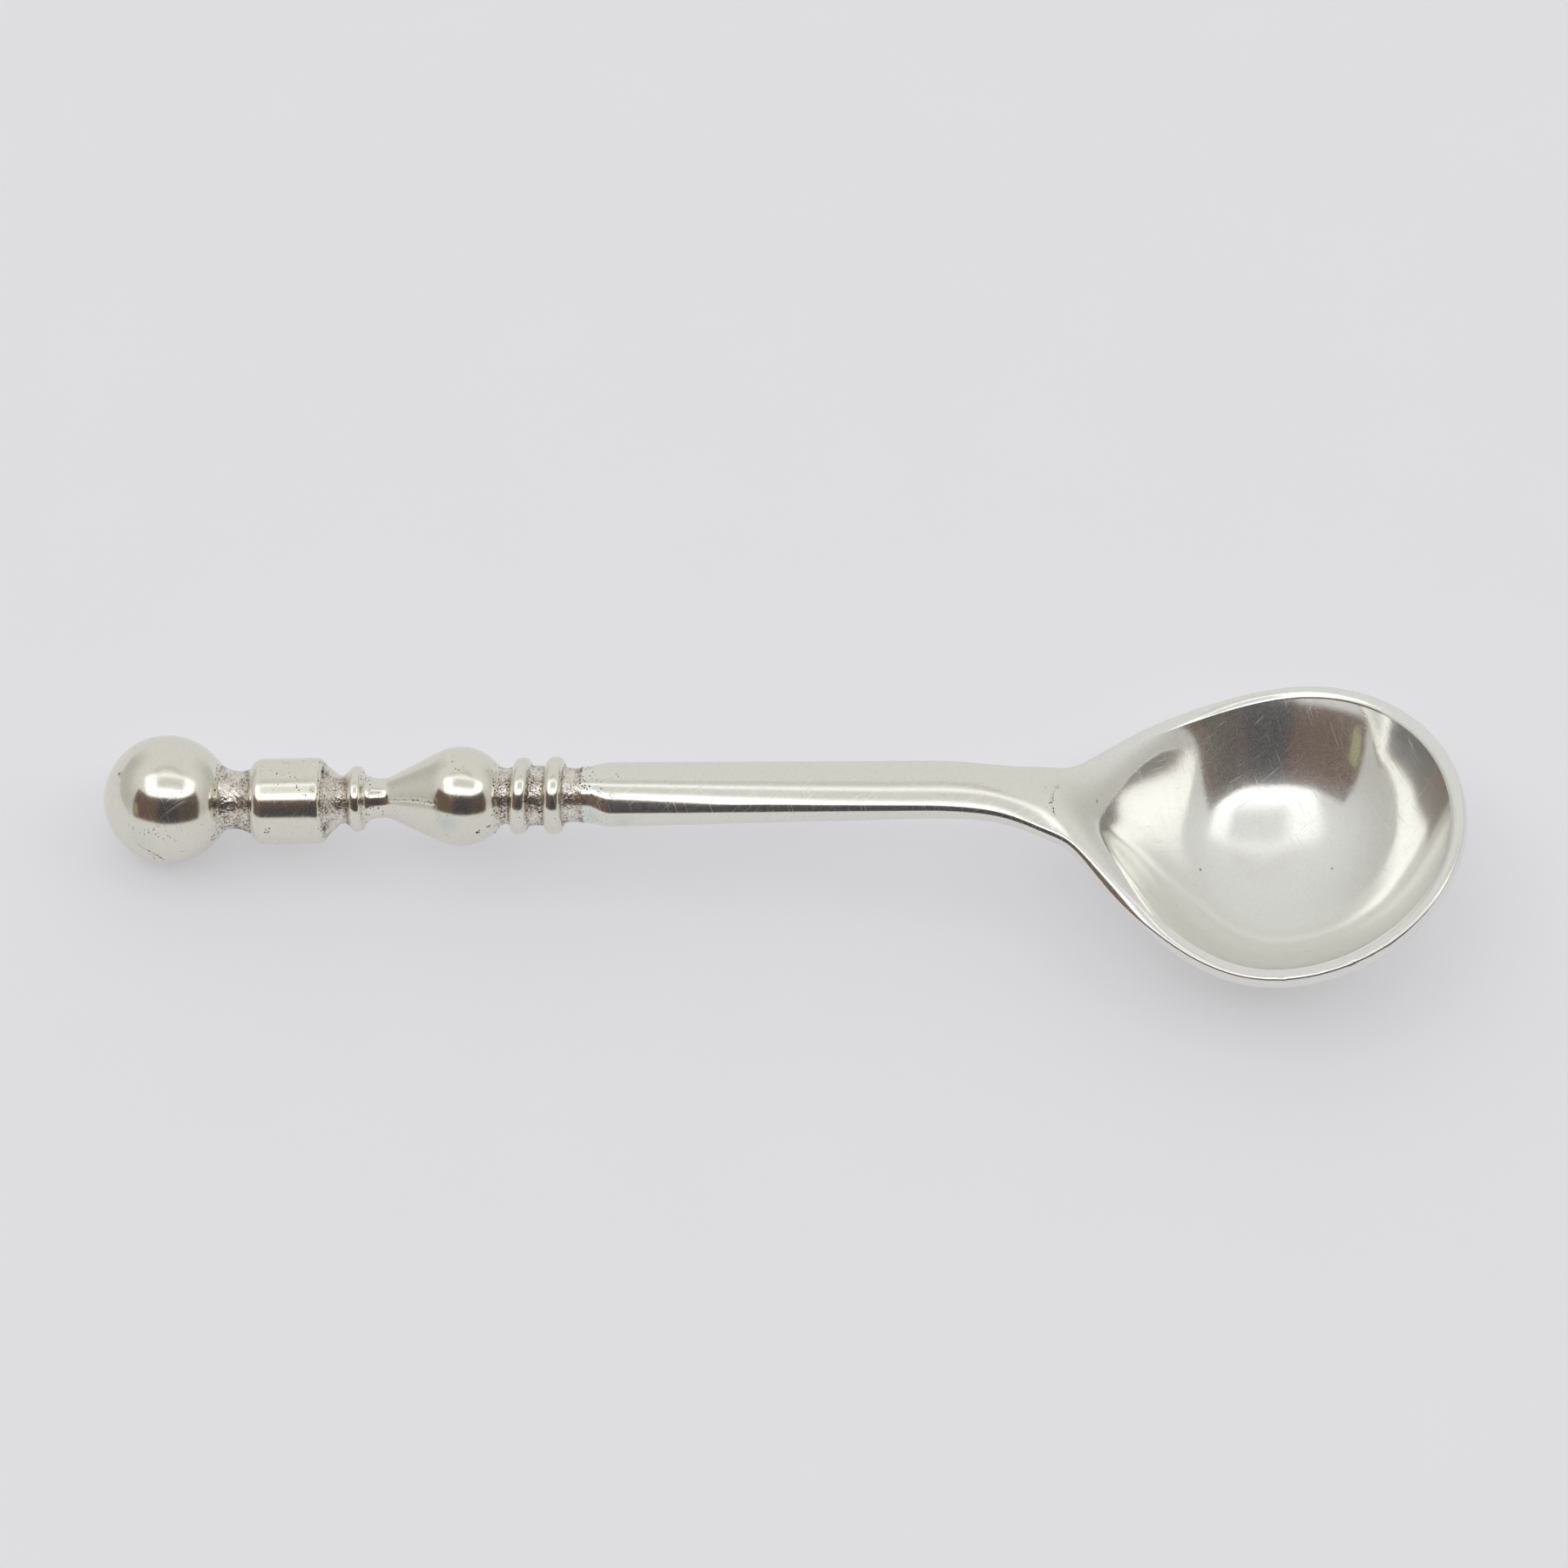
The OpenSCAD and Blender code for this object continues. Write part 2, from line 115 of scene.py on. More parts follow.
def add_node(tree: NodeTree, kind: str, inputs: Inputs = (), **settings: Any) -> NodeOutputs:
    """Adds a node with its settings, input values and links.

    Args:
        tree: the tree that gets the node.
        kind: the node's type name.
        inputs: a value or an output socket for each input, in order, or by name or index.
        settings: the node's properties by name.

    Returns:
        The new node's outputs.
    """
    node = tree.nodes.new(kind)
    for name, value in settings.items():
        setattr(node, name, value)
    set_inputs(tree, node, inputs)
    return node.outputs


def start_material(name: str) -> tuple[Material, Node, NodeSocket]:
    """Starts a material.

    Args:
        name: its name.

    Returns:
        The material, its shader and the object's coordinates.
    """
    made = bpy.data.materials.new(name)
    made.use_nodes = True
    tree = made.node_tree
    return made, tree.nodes["Principled BSDF"], add_node(tree, "ShaderNodeTexCoord")["Object"]


def add_object(name: str, data: ID) -> Object:
    """Adds an object to the scene.

    Args:
        name: its name.
        data: its mesh or camera.

    Returns:
        The object.
    """
    made = bpy.data.objects.new(name, data)
    bpy.context.scene.collection.objects.link(made)
    return made


def ease(t: np.ndarray) -> np.ndarray:
    """Steps smoothly from 0 to 1, with no sudden change of curvature."""
    u = np.clip(t, 0, 1)
    return u ** 3 * (u * (u * 6 - 15) + 10)


def unit(v: np.ndarray) -> np.ndarray:
    """Scales vectors along the last axis to length one."""
    return v / np.linalg.norm(v, axis=-1, keepdims=True)


def run_along(line: np.ndarray) -> np.ndarray:
    """Distance along a line of points, from the first to each of them."""
    return np.concatenate([[0], np.cumsum(np.linalg.norm(np.diff(line, axis=0), axis=1))])


@dataclass(frozen=True)
class Handle:
    """Where the handle's frame lies among the solids.

    Attributes:
        middle: the middle of the ball, in metres.
        pitch: the rise of the handle's axis, in radians.
    """

    middle: np.ndarray
    pitch: float

    @classmethod
    def from_solids(cls, ball_r: float) -> "Handle":
        """Reads the place from the solids of the ball and the peg.

        Args:
            ball_r: radius of the ball, in millimetres.

        Returns:
            The handle's frame.
        """
        low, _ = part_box("ball_knop")
        peg = np.array([v.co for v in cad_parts["knop_peg"].data.vertices])
        axis = np.linalg.svd(peg - peg.mean(0), full_matrices=False)[2][0]
        return cls(np.array([low.x + ball_r * MM, 0, ball_r * MM]), math.atan(axis[2] / axis[0]))

    def place(self, points: np.ndarray) -> np.ndarray:
        """Turns millimetres in the handle's frame into metres among the solids.

        Args:
            points: coordinates along the last axis.

        Returns:
            The same points in metres.
        """
        c, s = math.cos(self.pitch), math.sin(self.pitch)
        x, y, z = points[..., 0], points[..., 1], points[..., 2]
        return np.stack([c * x - s * z, y, s * x + c * z], -1) * MM + self.middle


@dataclass(frozen=True)
class Mark:
    """A pit, dent or stain on a piece, or a pale green reflection tint painted on it.

    Attributes:
        at: its place in the handle's frame.
        radius: its reach.
        depth: how deep it goes.
        stain: how dark the tarnish in it is, from 0 to 1.
        painted_reflection: how strong the painted pale green reflection tint is, from 0 to 1.
    """

    at: tuple[float, float, float]
    radius: float
    depth: float
    stain: float
    # A pale green reflection tint, painted into the colour
    painted_reflection: float = 0.0


def mark_line(points: list[tuple[float, float, float]], radius: float, depth: float,
              stain: float) -> tuple[Mark, ...]:
    """Sets marks closely along a line.

    Args:
        points: places of the line in the handle's frame.
        radius: reach of each mark.
        depth: how deep the line is, as a share of the radius.
        stain: how dark the tarnish in it is, from 0 to 1.

    Returns:
        The marks.
    """
    line = np.array(points)
    run = run_along(line)
    spots = [[float(np.interp(t, run, line[:, k])) for k in range(3)] for t in np.arange(0, run[-1], radius)]
    return tuple(Mark(tuple(spot), radius, depth * radius, stain) for spot in spots)


@dataclass(frozen=True)
class PolishedSilver:
    """Sterling silver, cast, filed and buffed.

    It mirrors its surroundings a little softly, in a faintly warm tone, with hairline scratches, small
    casting pits, brown tarnish where the buff could not reach and a few painted pale green reflection tints.
    """

    name: str = "polished_sterling_silver"
    colour: str = "#E9E7DB"
    worn_colour: str = "#F0F0EC"
    tarnish_colour: str = "#77675A"
    pit_colour: str = "#4A4037"
    # A pale green tint painted where the silver's reflection looks greenish
    painted_reflection_colour: str = "#CBD8D0"
    # The bowl's walls keep the best polish: the knop is duller from handling, and the bowl's floor from use
    roughness: float = 0.07
    bright_scuff: float = 0.9
    dull_gain: float = 0.07
    # Haze of wear: in life its grains are too fine to show, and here they are just coarse enough to sample
    haze_mm: float = 0.012
    haze_range: tuple[float, float] = (0.62, 0.74)
    haze_scuff: float = 0.115
    haze_scratch: float = 0.5
    haze_roughness: float = 0.45
    cloud_mm: float = 0.5
    cloud_gain: tuple[float, float] = (1.6, -0.8)
    dirt_range: tuple[float, float] = (0.5, 1.0)
    dirt_roughness: float = 0.45
    wave_mm: float = 2.6
    wave_depth_mm: float = 0.012
    peel_mm: float = 0.11
    peel_depth_mm: float = 0.001
    scratch_mm: float = 0.035
    scratch_stretch: float = 60.0
    scratch_turns: tuple[float, float] = (0.5, -0.95)
    scratch_range: tuple[float, float] = (0.67, 0.77)
    scratch_depth_mm: float = 0.0008
    pit_mm: float = 0.12
    pit_depth_mm: float = 0.01
    pit_roughness: float = 0.4
    pit_shares: tuple[float, float] = (0.06, 0.4)
    pit_tarnish: float = 1.1
    pit_scuff: float = -0.4
    pit_lots: tuple[float, float] = (1.0, 1.5)
    pit_reach: tuple[float, float] = (0.1, 0.42)
    pit_cluster_mm: float = 1.4
    pit_cluster_range: tuple[float, float] = (0.5, 0.72)

    def material(self) -> Material:
        """Makes the material.

        Returns:
            The finished material.
        """
        made, shader, spot = start_material(self.name)
        tree = made.node_tree
        tarnish, scuff, painted_reflection = (add_node(tree, "ShaderNodeAttribute", attribute_name=name)["Fac"]
                                  for name in (TARNISH, SCUFF, PAINTED_REFLECTION))
        wave, peel, grains = (
            add_node(tree, NOISE, {"Vector": spot, "Scale": per_mm(size), "Detail": 1.0})["Fac"]
            for size in (self.wave_mm, self.peel_mm, self.haze_mm))
        # Tarnish lies in patches: a cloud breaks up the even fall of the attribute
        cloud = add_node(tree, NOISE,
                         {"Vector": spot, "Scale": per_mm(self.cloud_mm), "Detail": 4.0,
                          "Roughness": 0.65})["Fac"]
        dirt = add_node(tree, MATH, (cloud, *self.cloud_gain), operation="MULTIPLY_ADD", use_clamp=True)[0]
        dirt = add_node(tree, MATH, (dirt, tarnish, tarnish), operation="MULTIPLY_ADD", use_clamp=True)[0]
        dirt = add_node(tree, RANGE, (dirt, *self.dirt_range), **SMOOTH)[0]
        pit = self.pits(tree, spot, tarnish, scuff)
        scratches = self.scratches(tree, spot)
        colour = linear(self.colour)
        # Wear, the painted green reflection tint, tarnish and pits, in turn
        for share, shade in ((scuff, self.worn_colour), (painted_reflection, self.painted_reflection_colour),
                             (dirt, self.tarnish_colour), (pit, self.pit_colour)):
            colour = add_node(tree, MIX, {0: share, 6: colour, 7: linear(shade)}, data_type="RGBA")[2]
        haze = add_node(tree, MATH, (scuff, self.haze_scuff, grains), operation="MULTIPLY_ADD")[0]
        haze = add_node(tree, RANGE, (haze, *self.haze_range), **SMOOTH)[0]
        haze = add_node(tree, MATH, (scratches, self.haze_scratch, haze), operation="MULTIPLY_ADD")[0]
        dull = add_node(tree, MATH, (scuff, self.bright_scuff), operation="SUBTRACT")[0]
        dull = add_node(tree, MATH, (dull,), operation="ABSOLUTE")[0]
        rough = self.roughness
        for share, gain in ((dull, self.dull_gain), (haze, self.haze_roughness), (dirt, self.dirt_roughness),
                            (pit, self.pit_roughness)):
            rough = add_node(tree, MATH, (share, gain, rough), operation="MULTIPLY_ADD", use_clamp=True)[0]
        bump = add_node(tree, BUMP,
                        {"Height": wave, "Distance": self.wave_depth_mm * MM, "Strength": 1.0})[0]
        for low, depth in ((peel, self.peel_depth_mm), (scratches, self.scratch_depth_mm),
                           (pit, self.pit_depth_mm)):
            bump = add_node(tree, BUMP,
                            {"Height": low, "Distance": depth * MM, "Strength": 1.0, "Normal": bump},
                            invert=True)[0]
        set_inputs(tree, shader,
                   {"Base Color": colour, "Roughness": rough, "Normal": bump, "Metallic": 1.0})
        return made

    def pits(self, tree: NodeTree, spot: NodeSocket, tarnish: NodeSocket, scuff: NodeSocket) -> NodeSocket:
        """Adds casting pits: small dark points in clusters and near tarnish, few where the silver is worn.

        Args:
            tree: the material's tree.
            spot: the coordinates.
            tarnish: how tarnished a place is.
            scuff: how worn a place is.

        Returns:
            A socket that is 1 in a pit.
        """
        cells = add_node(tree, "ShaderNodeTexVoronoi", {"Vector": spot, "Scale": per_mm(self.pit_mm)})
        cluster = add_node(tree, NOISE,
                           {"Vector": spot, "Scale": per_mm(self.pit_cluster_mm), "Detail": 2.0})["Fac"]
        share = add_node(tree, RANGE, (cluster, *self.pit_cluster_range, *self.pit_shares), **SMOOTH)[0]
        for value, gain in ((tarnish, self.pit_tarnish), (scuff, self.pit_scuff)):
            share = add_node(tree, MATH, (value, gain, share), operation="MULTIPLY_ADD")[0]
        lot = add_node(tree, "ShaderNodeSeparateColor", {"Color": cells["Color"]})["Red"]
        lot = add_node(tree, MATH, (lot, share), operation="ADD")[0]
        reach = add_node(tree, RANGE, (lot, *self.pit_lots, *self.pit_reach))[0]
        return add_node(tree, MATH, (cells["Distance"], reach), operation="LESS_THAN")[0]

    def scratches(self, tree: NodeTree, spot: NodeSocket) -> NodeSocket:
        """Adds hairline scratches from wiping, in two slanting directions.

        Args:
            tree: the material's tree.
            spot: the coordinates.

        Returns:
            A socket that rises to 1 in a scratch.
        """
        found = 0.0
        for turn in self.scratch_turns:
            slant = add_node(tree, "ShaderNodeMapping",
                             {"Vector": spot, "Rotation": (0.0, 0.0, turn),
                              "Scale": (1.0, self.scratch_stretch, self.scratch_stretch)},
                             vector_type="TEXTURE")[0]
            hairs = add_node(tree, NOISE,
                             {"Vector": slant, "Scale": per_mm(self.scratch_mm), "Detail": 1.0})["Fac"]
            lines = add_node(tree, RANGE, (hairs, *self.scratch_range), **SMOOTH)[0]
            found = add_node(tree, MATH, (found, lines), operation="MAXIMUM")[0]
        return found


@dataclass(frozen=True)
class CastSilver:
    """Sterling silver as it came from the mould, in the recesses of the knop.

    It is granular and only half bright: worn grains glint, and the low places between them hold brown to
    black tarnish.
    """

    name: str = "as_cast_sterling_silver"
    colour: str = "#ECE8DF"
    warm_colour: str = "#9C8A7C"
    pore_colour: str = "#3E342E"
    grain_mm: float = 0.09
    grain_depth_mm: float = 0.013
    patch_mm: float = 0.6
    patch_gain: float = 0.6
    tarnish_gain: float = 0.16
    warm_range: tuple[float, float] = (0.7, 1.05)
    pore_range: tuple[float, float] = (0.92, 1.08)
    grime_range: tuple[float, float] = (0.6, 1.1)
    roughness: tuple[float, float] = (0.1, 0.42)

    def material(self) -> Material:
        """Makes the material.

        Returns:
            The finished material.
        """
        made, shader, spot = start_material(self.name)
        tree = made.node_tree
        tarnish = add_node(tree, "ShaderNodeAttribute", attribute_name=TARNISH)["Fac"]
        grain = add_node(tree, NOISE,
                         {"Vector": spot, "Scale": per_mm(self.grain_mm), "Detail": 2.0,
                          "Roughness": 0.6})["Fac"]
        patch = add_node(tree, NOISE,
                         {"Vector": spot, "Scale": per_mm(self.patch_mm), "Detail": 3.0})["Fac"]
        grime = add_node(tree, MATH, (1.0, grain), operation="SUBTRACT")[0]
        for value, gain in ((patch, self.patch_gain), (tarnish, self.tarnish_gain)):
            grime = add_node(tree, MATH, (value, gain, grime), operation="MULTIPLY_ADD")[0]
        colour = linear(self.colour)
        for span, shade in ((self.warm_range, self.warm_colour), (self.pore_range, self.pore_colour)):
            share = add_node(tree, RANGE, (grime, *span), **SMOOTH)[0]
            colour = add_node(tree, MIX, {0: share, 6: colour, 7: linear(shade)}, data_type="RGBA")[2]
        rough = add_node(tree, RANGE, (grime, *self.grime_range, *self.roughness))[0]
        bump = add_node(tree, BUMP,
                        {"Height": grain, "Distance": self.grain_depth_mm * MM, "Strength": 1.0})[0]
        set_inputs(tree, shader,
                   {"Base Color": colour, "Roughness": rough, "Normal": bump, "Metallic": 1.0})
        return made


@dataclass(frozen=True)
class DrawnSilver:
    """Silver wire, pulled through a die: fine lines along its length and a soft grey gloss."""

    name: str = "drawn_silver_wire"
    colour: str = "#E4DFD4"
    line_mm: float = 0.05
    line_stretch: float = 40.0
    line_depth_mm: float = 0.003
    roughness: tuple[float, float] = (0.2, 0.4)

    def material(self, pitch: float) -> Material:
        """Makes the material.

        Args:
            pitch: the rise of the wire, in radians.

        Returns:
            The finished material.
        """
        made, shader, spot = start_material(self.name)
        tree = made.node_tree
        along = add_node(tree, "ShaderNodeMapping",
                         {"Vector": spot, "Rotation": (0.0, pitch, 0.0),
                          "Scale": (1 / self.line_stretch, 1.0, 1.0)})[0]
        lines = add_node(tree, NOISE,
                         {"Vector": along, "Scale": per_mm(self.line_mm), "Detail": 2.0})["Fac"]
        rough = add_node(tree, RANGE, (lines, 0.0, 1.0, *self.roughness))[0]
        bump = add_node(tree, BUMP,
                        {"Height": lines, "Distance": self.line_depth_mm * MM, "Strength": 1.0})[0]
        set_inputs(tree, shader,
                   {"Base Color": linear(self.colour), "Roughness": rough, "Normal": bump, "Metallic": 1.0})
        return made


@dataclass(frozen=True)
class MattPaper:
    """Smooth white photographer's paper over a lit table: matt and pale, with a faint mottle."""

    name: str = "matt_white_paper"
    colour: str = "#BFBFC2"
    glow_colour: str = "#FBFBFF"
    glow: float = 0.37
    mottle_mm: float = 9.0
    mottle: tuple[float, float] = (0.985, 1.015)
    roughness: float = 0.9

    def material(self) -> Material:
        """Makes the material.

        Returns:
            The finished material.
        """
        made, shader, spot = start_material(self.name)
        tree = made.node_tree
        pale = add_node(tree, NOISE,
                        {"Vector": spot, "Scale": per_mm(self.mottle_mm), "Detail": 3.0})["Fac"]
        pale = add_node(tree, RANGE, (pale, 0.0, 1.0, *self.mottle))[0]
        colour = add_node(tree, "ShaderNodeVectorMath", {0: linear(self.colour)[:3], "Scale": pale},
                          operation="SCALE")[0]
        # The glow is only seen, straight or in a mirror: it puts no light on the spoon's surroundings
        path = add_node(tree, "ShaderNodeLightPath")
        seen = path["Is Camera Ray"]
        for way in ("Is Glossy Ray", "Is Transmission Ray"):
            seen = add_node(tree, MATH, (seen, path[way]), operation="ADD", use_clamp=True)[0]
        glow = add_node(tree, MATH, (seen, self.glow), operation="MULTIPLY")[0]
        set_inputs(tree, shader,
                   {"Base Color": colour, "Roughness": self.roughness, "Specular IOR Level": 0.0,
                    "Emission Color": linear(self.glow_colour), "Emission Strength": glow})
        return made


@dataclass(frozen=True)
class Card:
    """A soft-edged field of the studio, by direction. Azimuth 0 is towards the camera, positive to the right.

    Attributes:
        azimuth: its left and right edges, in degrees.
        elevation: its lower and upper edges, in degrees, straight ahead of the camera side.
        soft: width of its edges, in degrees.
        colour: its colour.
        bow: how far its lower and upper edges sink from azimuth 0 to a right angle to it, in degrees.
        flare: how much wider it is at the zenith than at the horizon, as a share.
        strength: its brightness, where 1 is white.
    """

    azimuth: tuple[float, float]
    elevation: tuple[float, float]
    soft: float
    colour: str
    bow: float = 0.0
    flare: float = 0.0
    strength: float = 1.0


@dataclass(frozen=True)
class Panel:
    """A soft-edged rectangle in the tent's roof, measured at a height of one above the spoon.

    Attributes:
        across: its left and right edges.
        along: its edges on the camera's side and on the far side.
        soft: width of its edges.
        colour: its colour.
        strength: its brightness, where 1 is white.
    """

    across: tuple[float, float]
    along: tuple[float, float]
    soft: float
    colour: str
    strength: float = 1.0


@dataclass
class Studio:
    """Light tent, table and camera of the picture."""

    elevation: float = 56.45
    roll: float = 2.896
    distance_mm: float = 500.0
    pixels_per_mm: float = 22.148
    picture_px: float = 1800.0
    right_mm: float = 0.188
    up_mm: float = 4.31
    sensor_mm: float = 36.0
    clip_m: tuple[float, float] = (0.01, 20.0)
    table_m: float = 4.0
    tent: str = "#ECECEB"
    light_level: float = 0.9
    least_height: float = 0.02
    sources: tuple[Card | Panel, ...] = (
        # The lower side walls of the tent, further from the lamp
        Card((62, 140), (-20, 26), 30, "#CFCECA"),
        Card((-145, -62), (-20, 28), 30, "#CAC9C5"),
        # The tent's roof and its seam with the back wall
        Card((-400, 400), (61, 100), 4, "#F4F4F3"),
        Card((105, 400), (59, 69), 8, "#DAD8D3"),
        Card((-400, -125), (59, 69), 8, "#DAD8D3"),
        # The lamp over the roof: brighter round its edge than in its middle
        Panel((-0.78, 1.1), (-0.8, 0.22), 0.24, "#FFFFFF", 1.85),
        Panel((-0.34, 0.62), (-0.26, 0.16), 0.24, "#E6E6E6"),
        # The open front of the tent: brown at its sides, grey in its middle, with a pale strip at its left
        Card((-54, 55), (12, 59), 4, "#6E5A50", 24, 1.2),
        Card((-14, 24), (11, 57), 7, "#4A484C", 18, 0.6),
        Card((24, 50), (12, 56), 8, "#595049", 22, 1.0),
        Card((-51, -45), (8, 22), 3, "#A9A87C", 0, 1.2),
    )

    def build(self) -> None:
        """Builds the table, the light and the camera."""
        self.table()
        self.light()
        self.camera()
        bpy.context.scene.view_settings.view_transform = "Standard"

    def table(self) -> None:
        """Lays a wide sheet of paper under the spoon."""
        half = self.table_m / 2
        mesh = bpy.data.meshes.new("table")
        corners = [(-half, -half, 0), (half, -half, 0), (half, half, 0), (-half, half, 0)]
        mesh.from_pydata(corners, [], [(0, 1, 2, 3)])
        mesh.materials.append(MattPaper().material())
        table = add_object("table", mesh)

    def light(self) -> None:
        """Paints the tent, its lamp and its opening on the world, by direction."""
        world = bpy.data.worlds.new("light_tent")
        bpy.context.scene.world = world
        world.use_nodes = True
        tree = world.node_tree
        way = add_node(tree, "ShaderNodeTexCoord")["Generated"]
        part = add_node(tree, "ShaderNodeSeparateXYZ", (way,))
        front = add_node(tree, MATH, (part["Y"], -1.0), operation="MULTIPLY")[0]
        angle = add_node(tree, MATH, (part["X"], front), operation="ARCTAN2")[0]
        turn = add_node(tree, MATH, (angle,), operation="COSINE")[0]
        rise = add_node(tree, MATH, (part["Z"],), operation="ARCSINE")[0]
        azimuth, rise = (add_node(tree, MATH, (value,), operation="DEGREES")[0]
                         for value in (angle, rise))
        height = add_node(tree, MATH, (part["Z"], self.least_height), operation="MAXIMUM")[0]
        roof = [add_node(tree, MATH, (part[axis], height), operation="DIVIDE")[0] for axis in "XY"]
        colour = linear(self.tent)
        for source in self.sources:
            if isinstance(source, Panel):
                spans = ((roof[0], source.across), (roof[1], source.along))
            else:
                sunk = add_node(tree, MATH, (turn, -source.bow, rise), operation="MULTIPLY_ADD")[0]
                sunk = add_node(tree, MATH, (sunk, source.bow), operation="ADD")[0]
                wide = add_node(tree, MATH, (rise, source.flare / 90, 1.0), operation="MULTIPLY_ADD")[0]
                beside = add_node(tree, MATH, (azimuth, wide), operation="DIVIDE")[0]
                spans = ((beside, source.azimuth), (sunk, source.elevation))
            mask = 1.0
            for value, edges in spans:
                for edge, half in zip(edges, (source.soft / 2, -source.soft / 2)):
                    step = add_node(tree, RANGE, (value, edge - half, edge + half), **SMOOTH)[0]
                    mask = add_node(tree, MATH, (mask, step), operation="MULTIPLY")[0]
            shade = tuple(c * source.strength for c in linear(source.colour))
            colour = add_node(tree, MIX, {0: mask, 6: colour, 7: shade}, data_type="RGBA")[2]
        set_inputs(tree, tree.nodes["Background"], {"Color": colour, "Strength": self.light_level})

    def camera(self) -> None:
        """Sets up the camera at the picture's angle."""
        e, r = math.radians(self.elevation), math.radians(self.roll)
        back = np.array([0, -math.cos(e), math.sin(e)])
        level = np.array([1.0, 0, 0])
        rise = np.cross(back, level)
        right = math.cos(r) * level + math.sin(r) * rise
        up = math.cos(r) * rise - math.sin(r) * level
        data = bpy.data.cameras.new("camera")
        data.sensor_width = self.sensor_mm
        data.lens = self.sensor_mm * self.pixels_per_mm * self.distance_mm / self.picture_px
        data.clip_start, data.clip_end = self.clip_m
        camera = add_object("camera", data)
        spot = (self.right_mm * right + self.up_mm * up + self.distance_mm * back) * MM
        camera.matrix_world = Matrix([*np.column_stack([right, up, back, spot]).tolist(), [0, 0, 0, 1]])
        bpy.context.scene.camera = camera


def finish_piece(piece: Object, node: str, slot: Slot) -> None:
    """Ties a piece to the spoon's body, hides the solid that it stands for and logs its slot.

    Args:
        piece: the finished piece.
        node: the solid's name.
        slot: the slot of its finish.
    """
    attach(piece, ROOT)
    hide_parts(node)
    LOG.info("%s: %d vertices, %s", piece.name, len(piece.data.vertices), slot.value)


def apply_marks(mesh: Mesh, handle: Handle, marks: tuple[Mark, ...]) -> None:
    """Presses marks into a mesh, stains them and paints their pale green reflection tint.

    Args:
        mesh: the piece's mesh, in metres.
        handle: the handle's frame.
        marks: the marks.
    """
    count = len(mesh.vertices)
    spots, normals = np.zeros(count * 3), np.zeros(count * 3)
    stain, painted_reflection = np.zeros(count), np.zeros(count)
    mesh.vertices.foreach_get("co", spots)
    mesh.vertex_normals.foreach_get("vector", normals)
    mesh.attributes[TARNISH].data.foreach_get("value", stain)
    spots, normals = spots.reshape(-1, 3), normals.reshape(-1, 3)
    for mark in marks:
        near = np.exp(-((spots - handle.place(np.array(mark.at))) ** 2).sum(1) / (mark.radius * MM) ** 2)
        spots -= (near * mark.depth * MM)[:, None] * normals
        stain = np.maximum(stain, near * mark.stain)
        # The painted pale green reflection tint
        painted_reflection = np.maximum(painted_reflection, near * mark.painted_reflection)
    mesh.vertices.foreach_set("co", spots.ravel())
    mesh.attributes[TARNISH].data.foreach_set("value", stain)
    mesh.attributes.new(PAINTED_REFLECTION, "FLOAT", "POINT").data.foreach_set("value", painted_reflection)
    mesh.update()


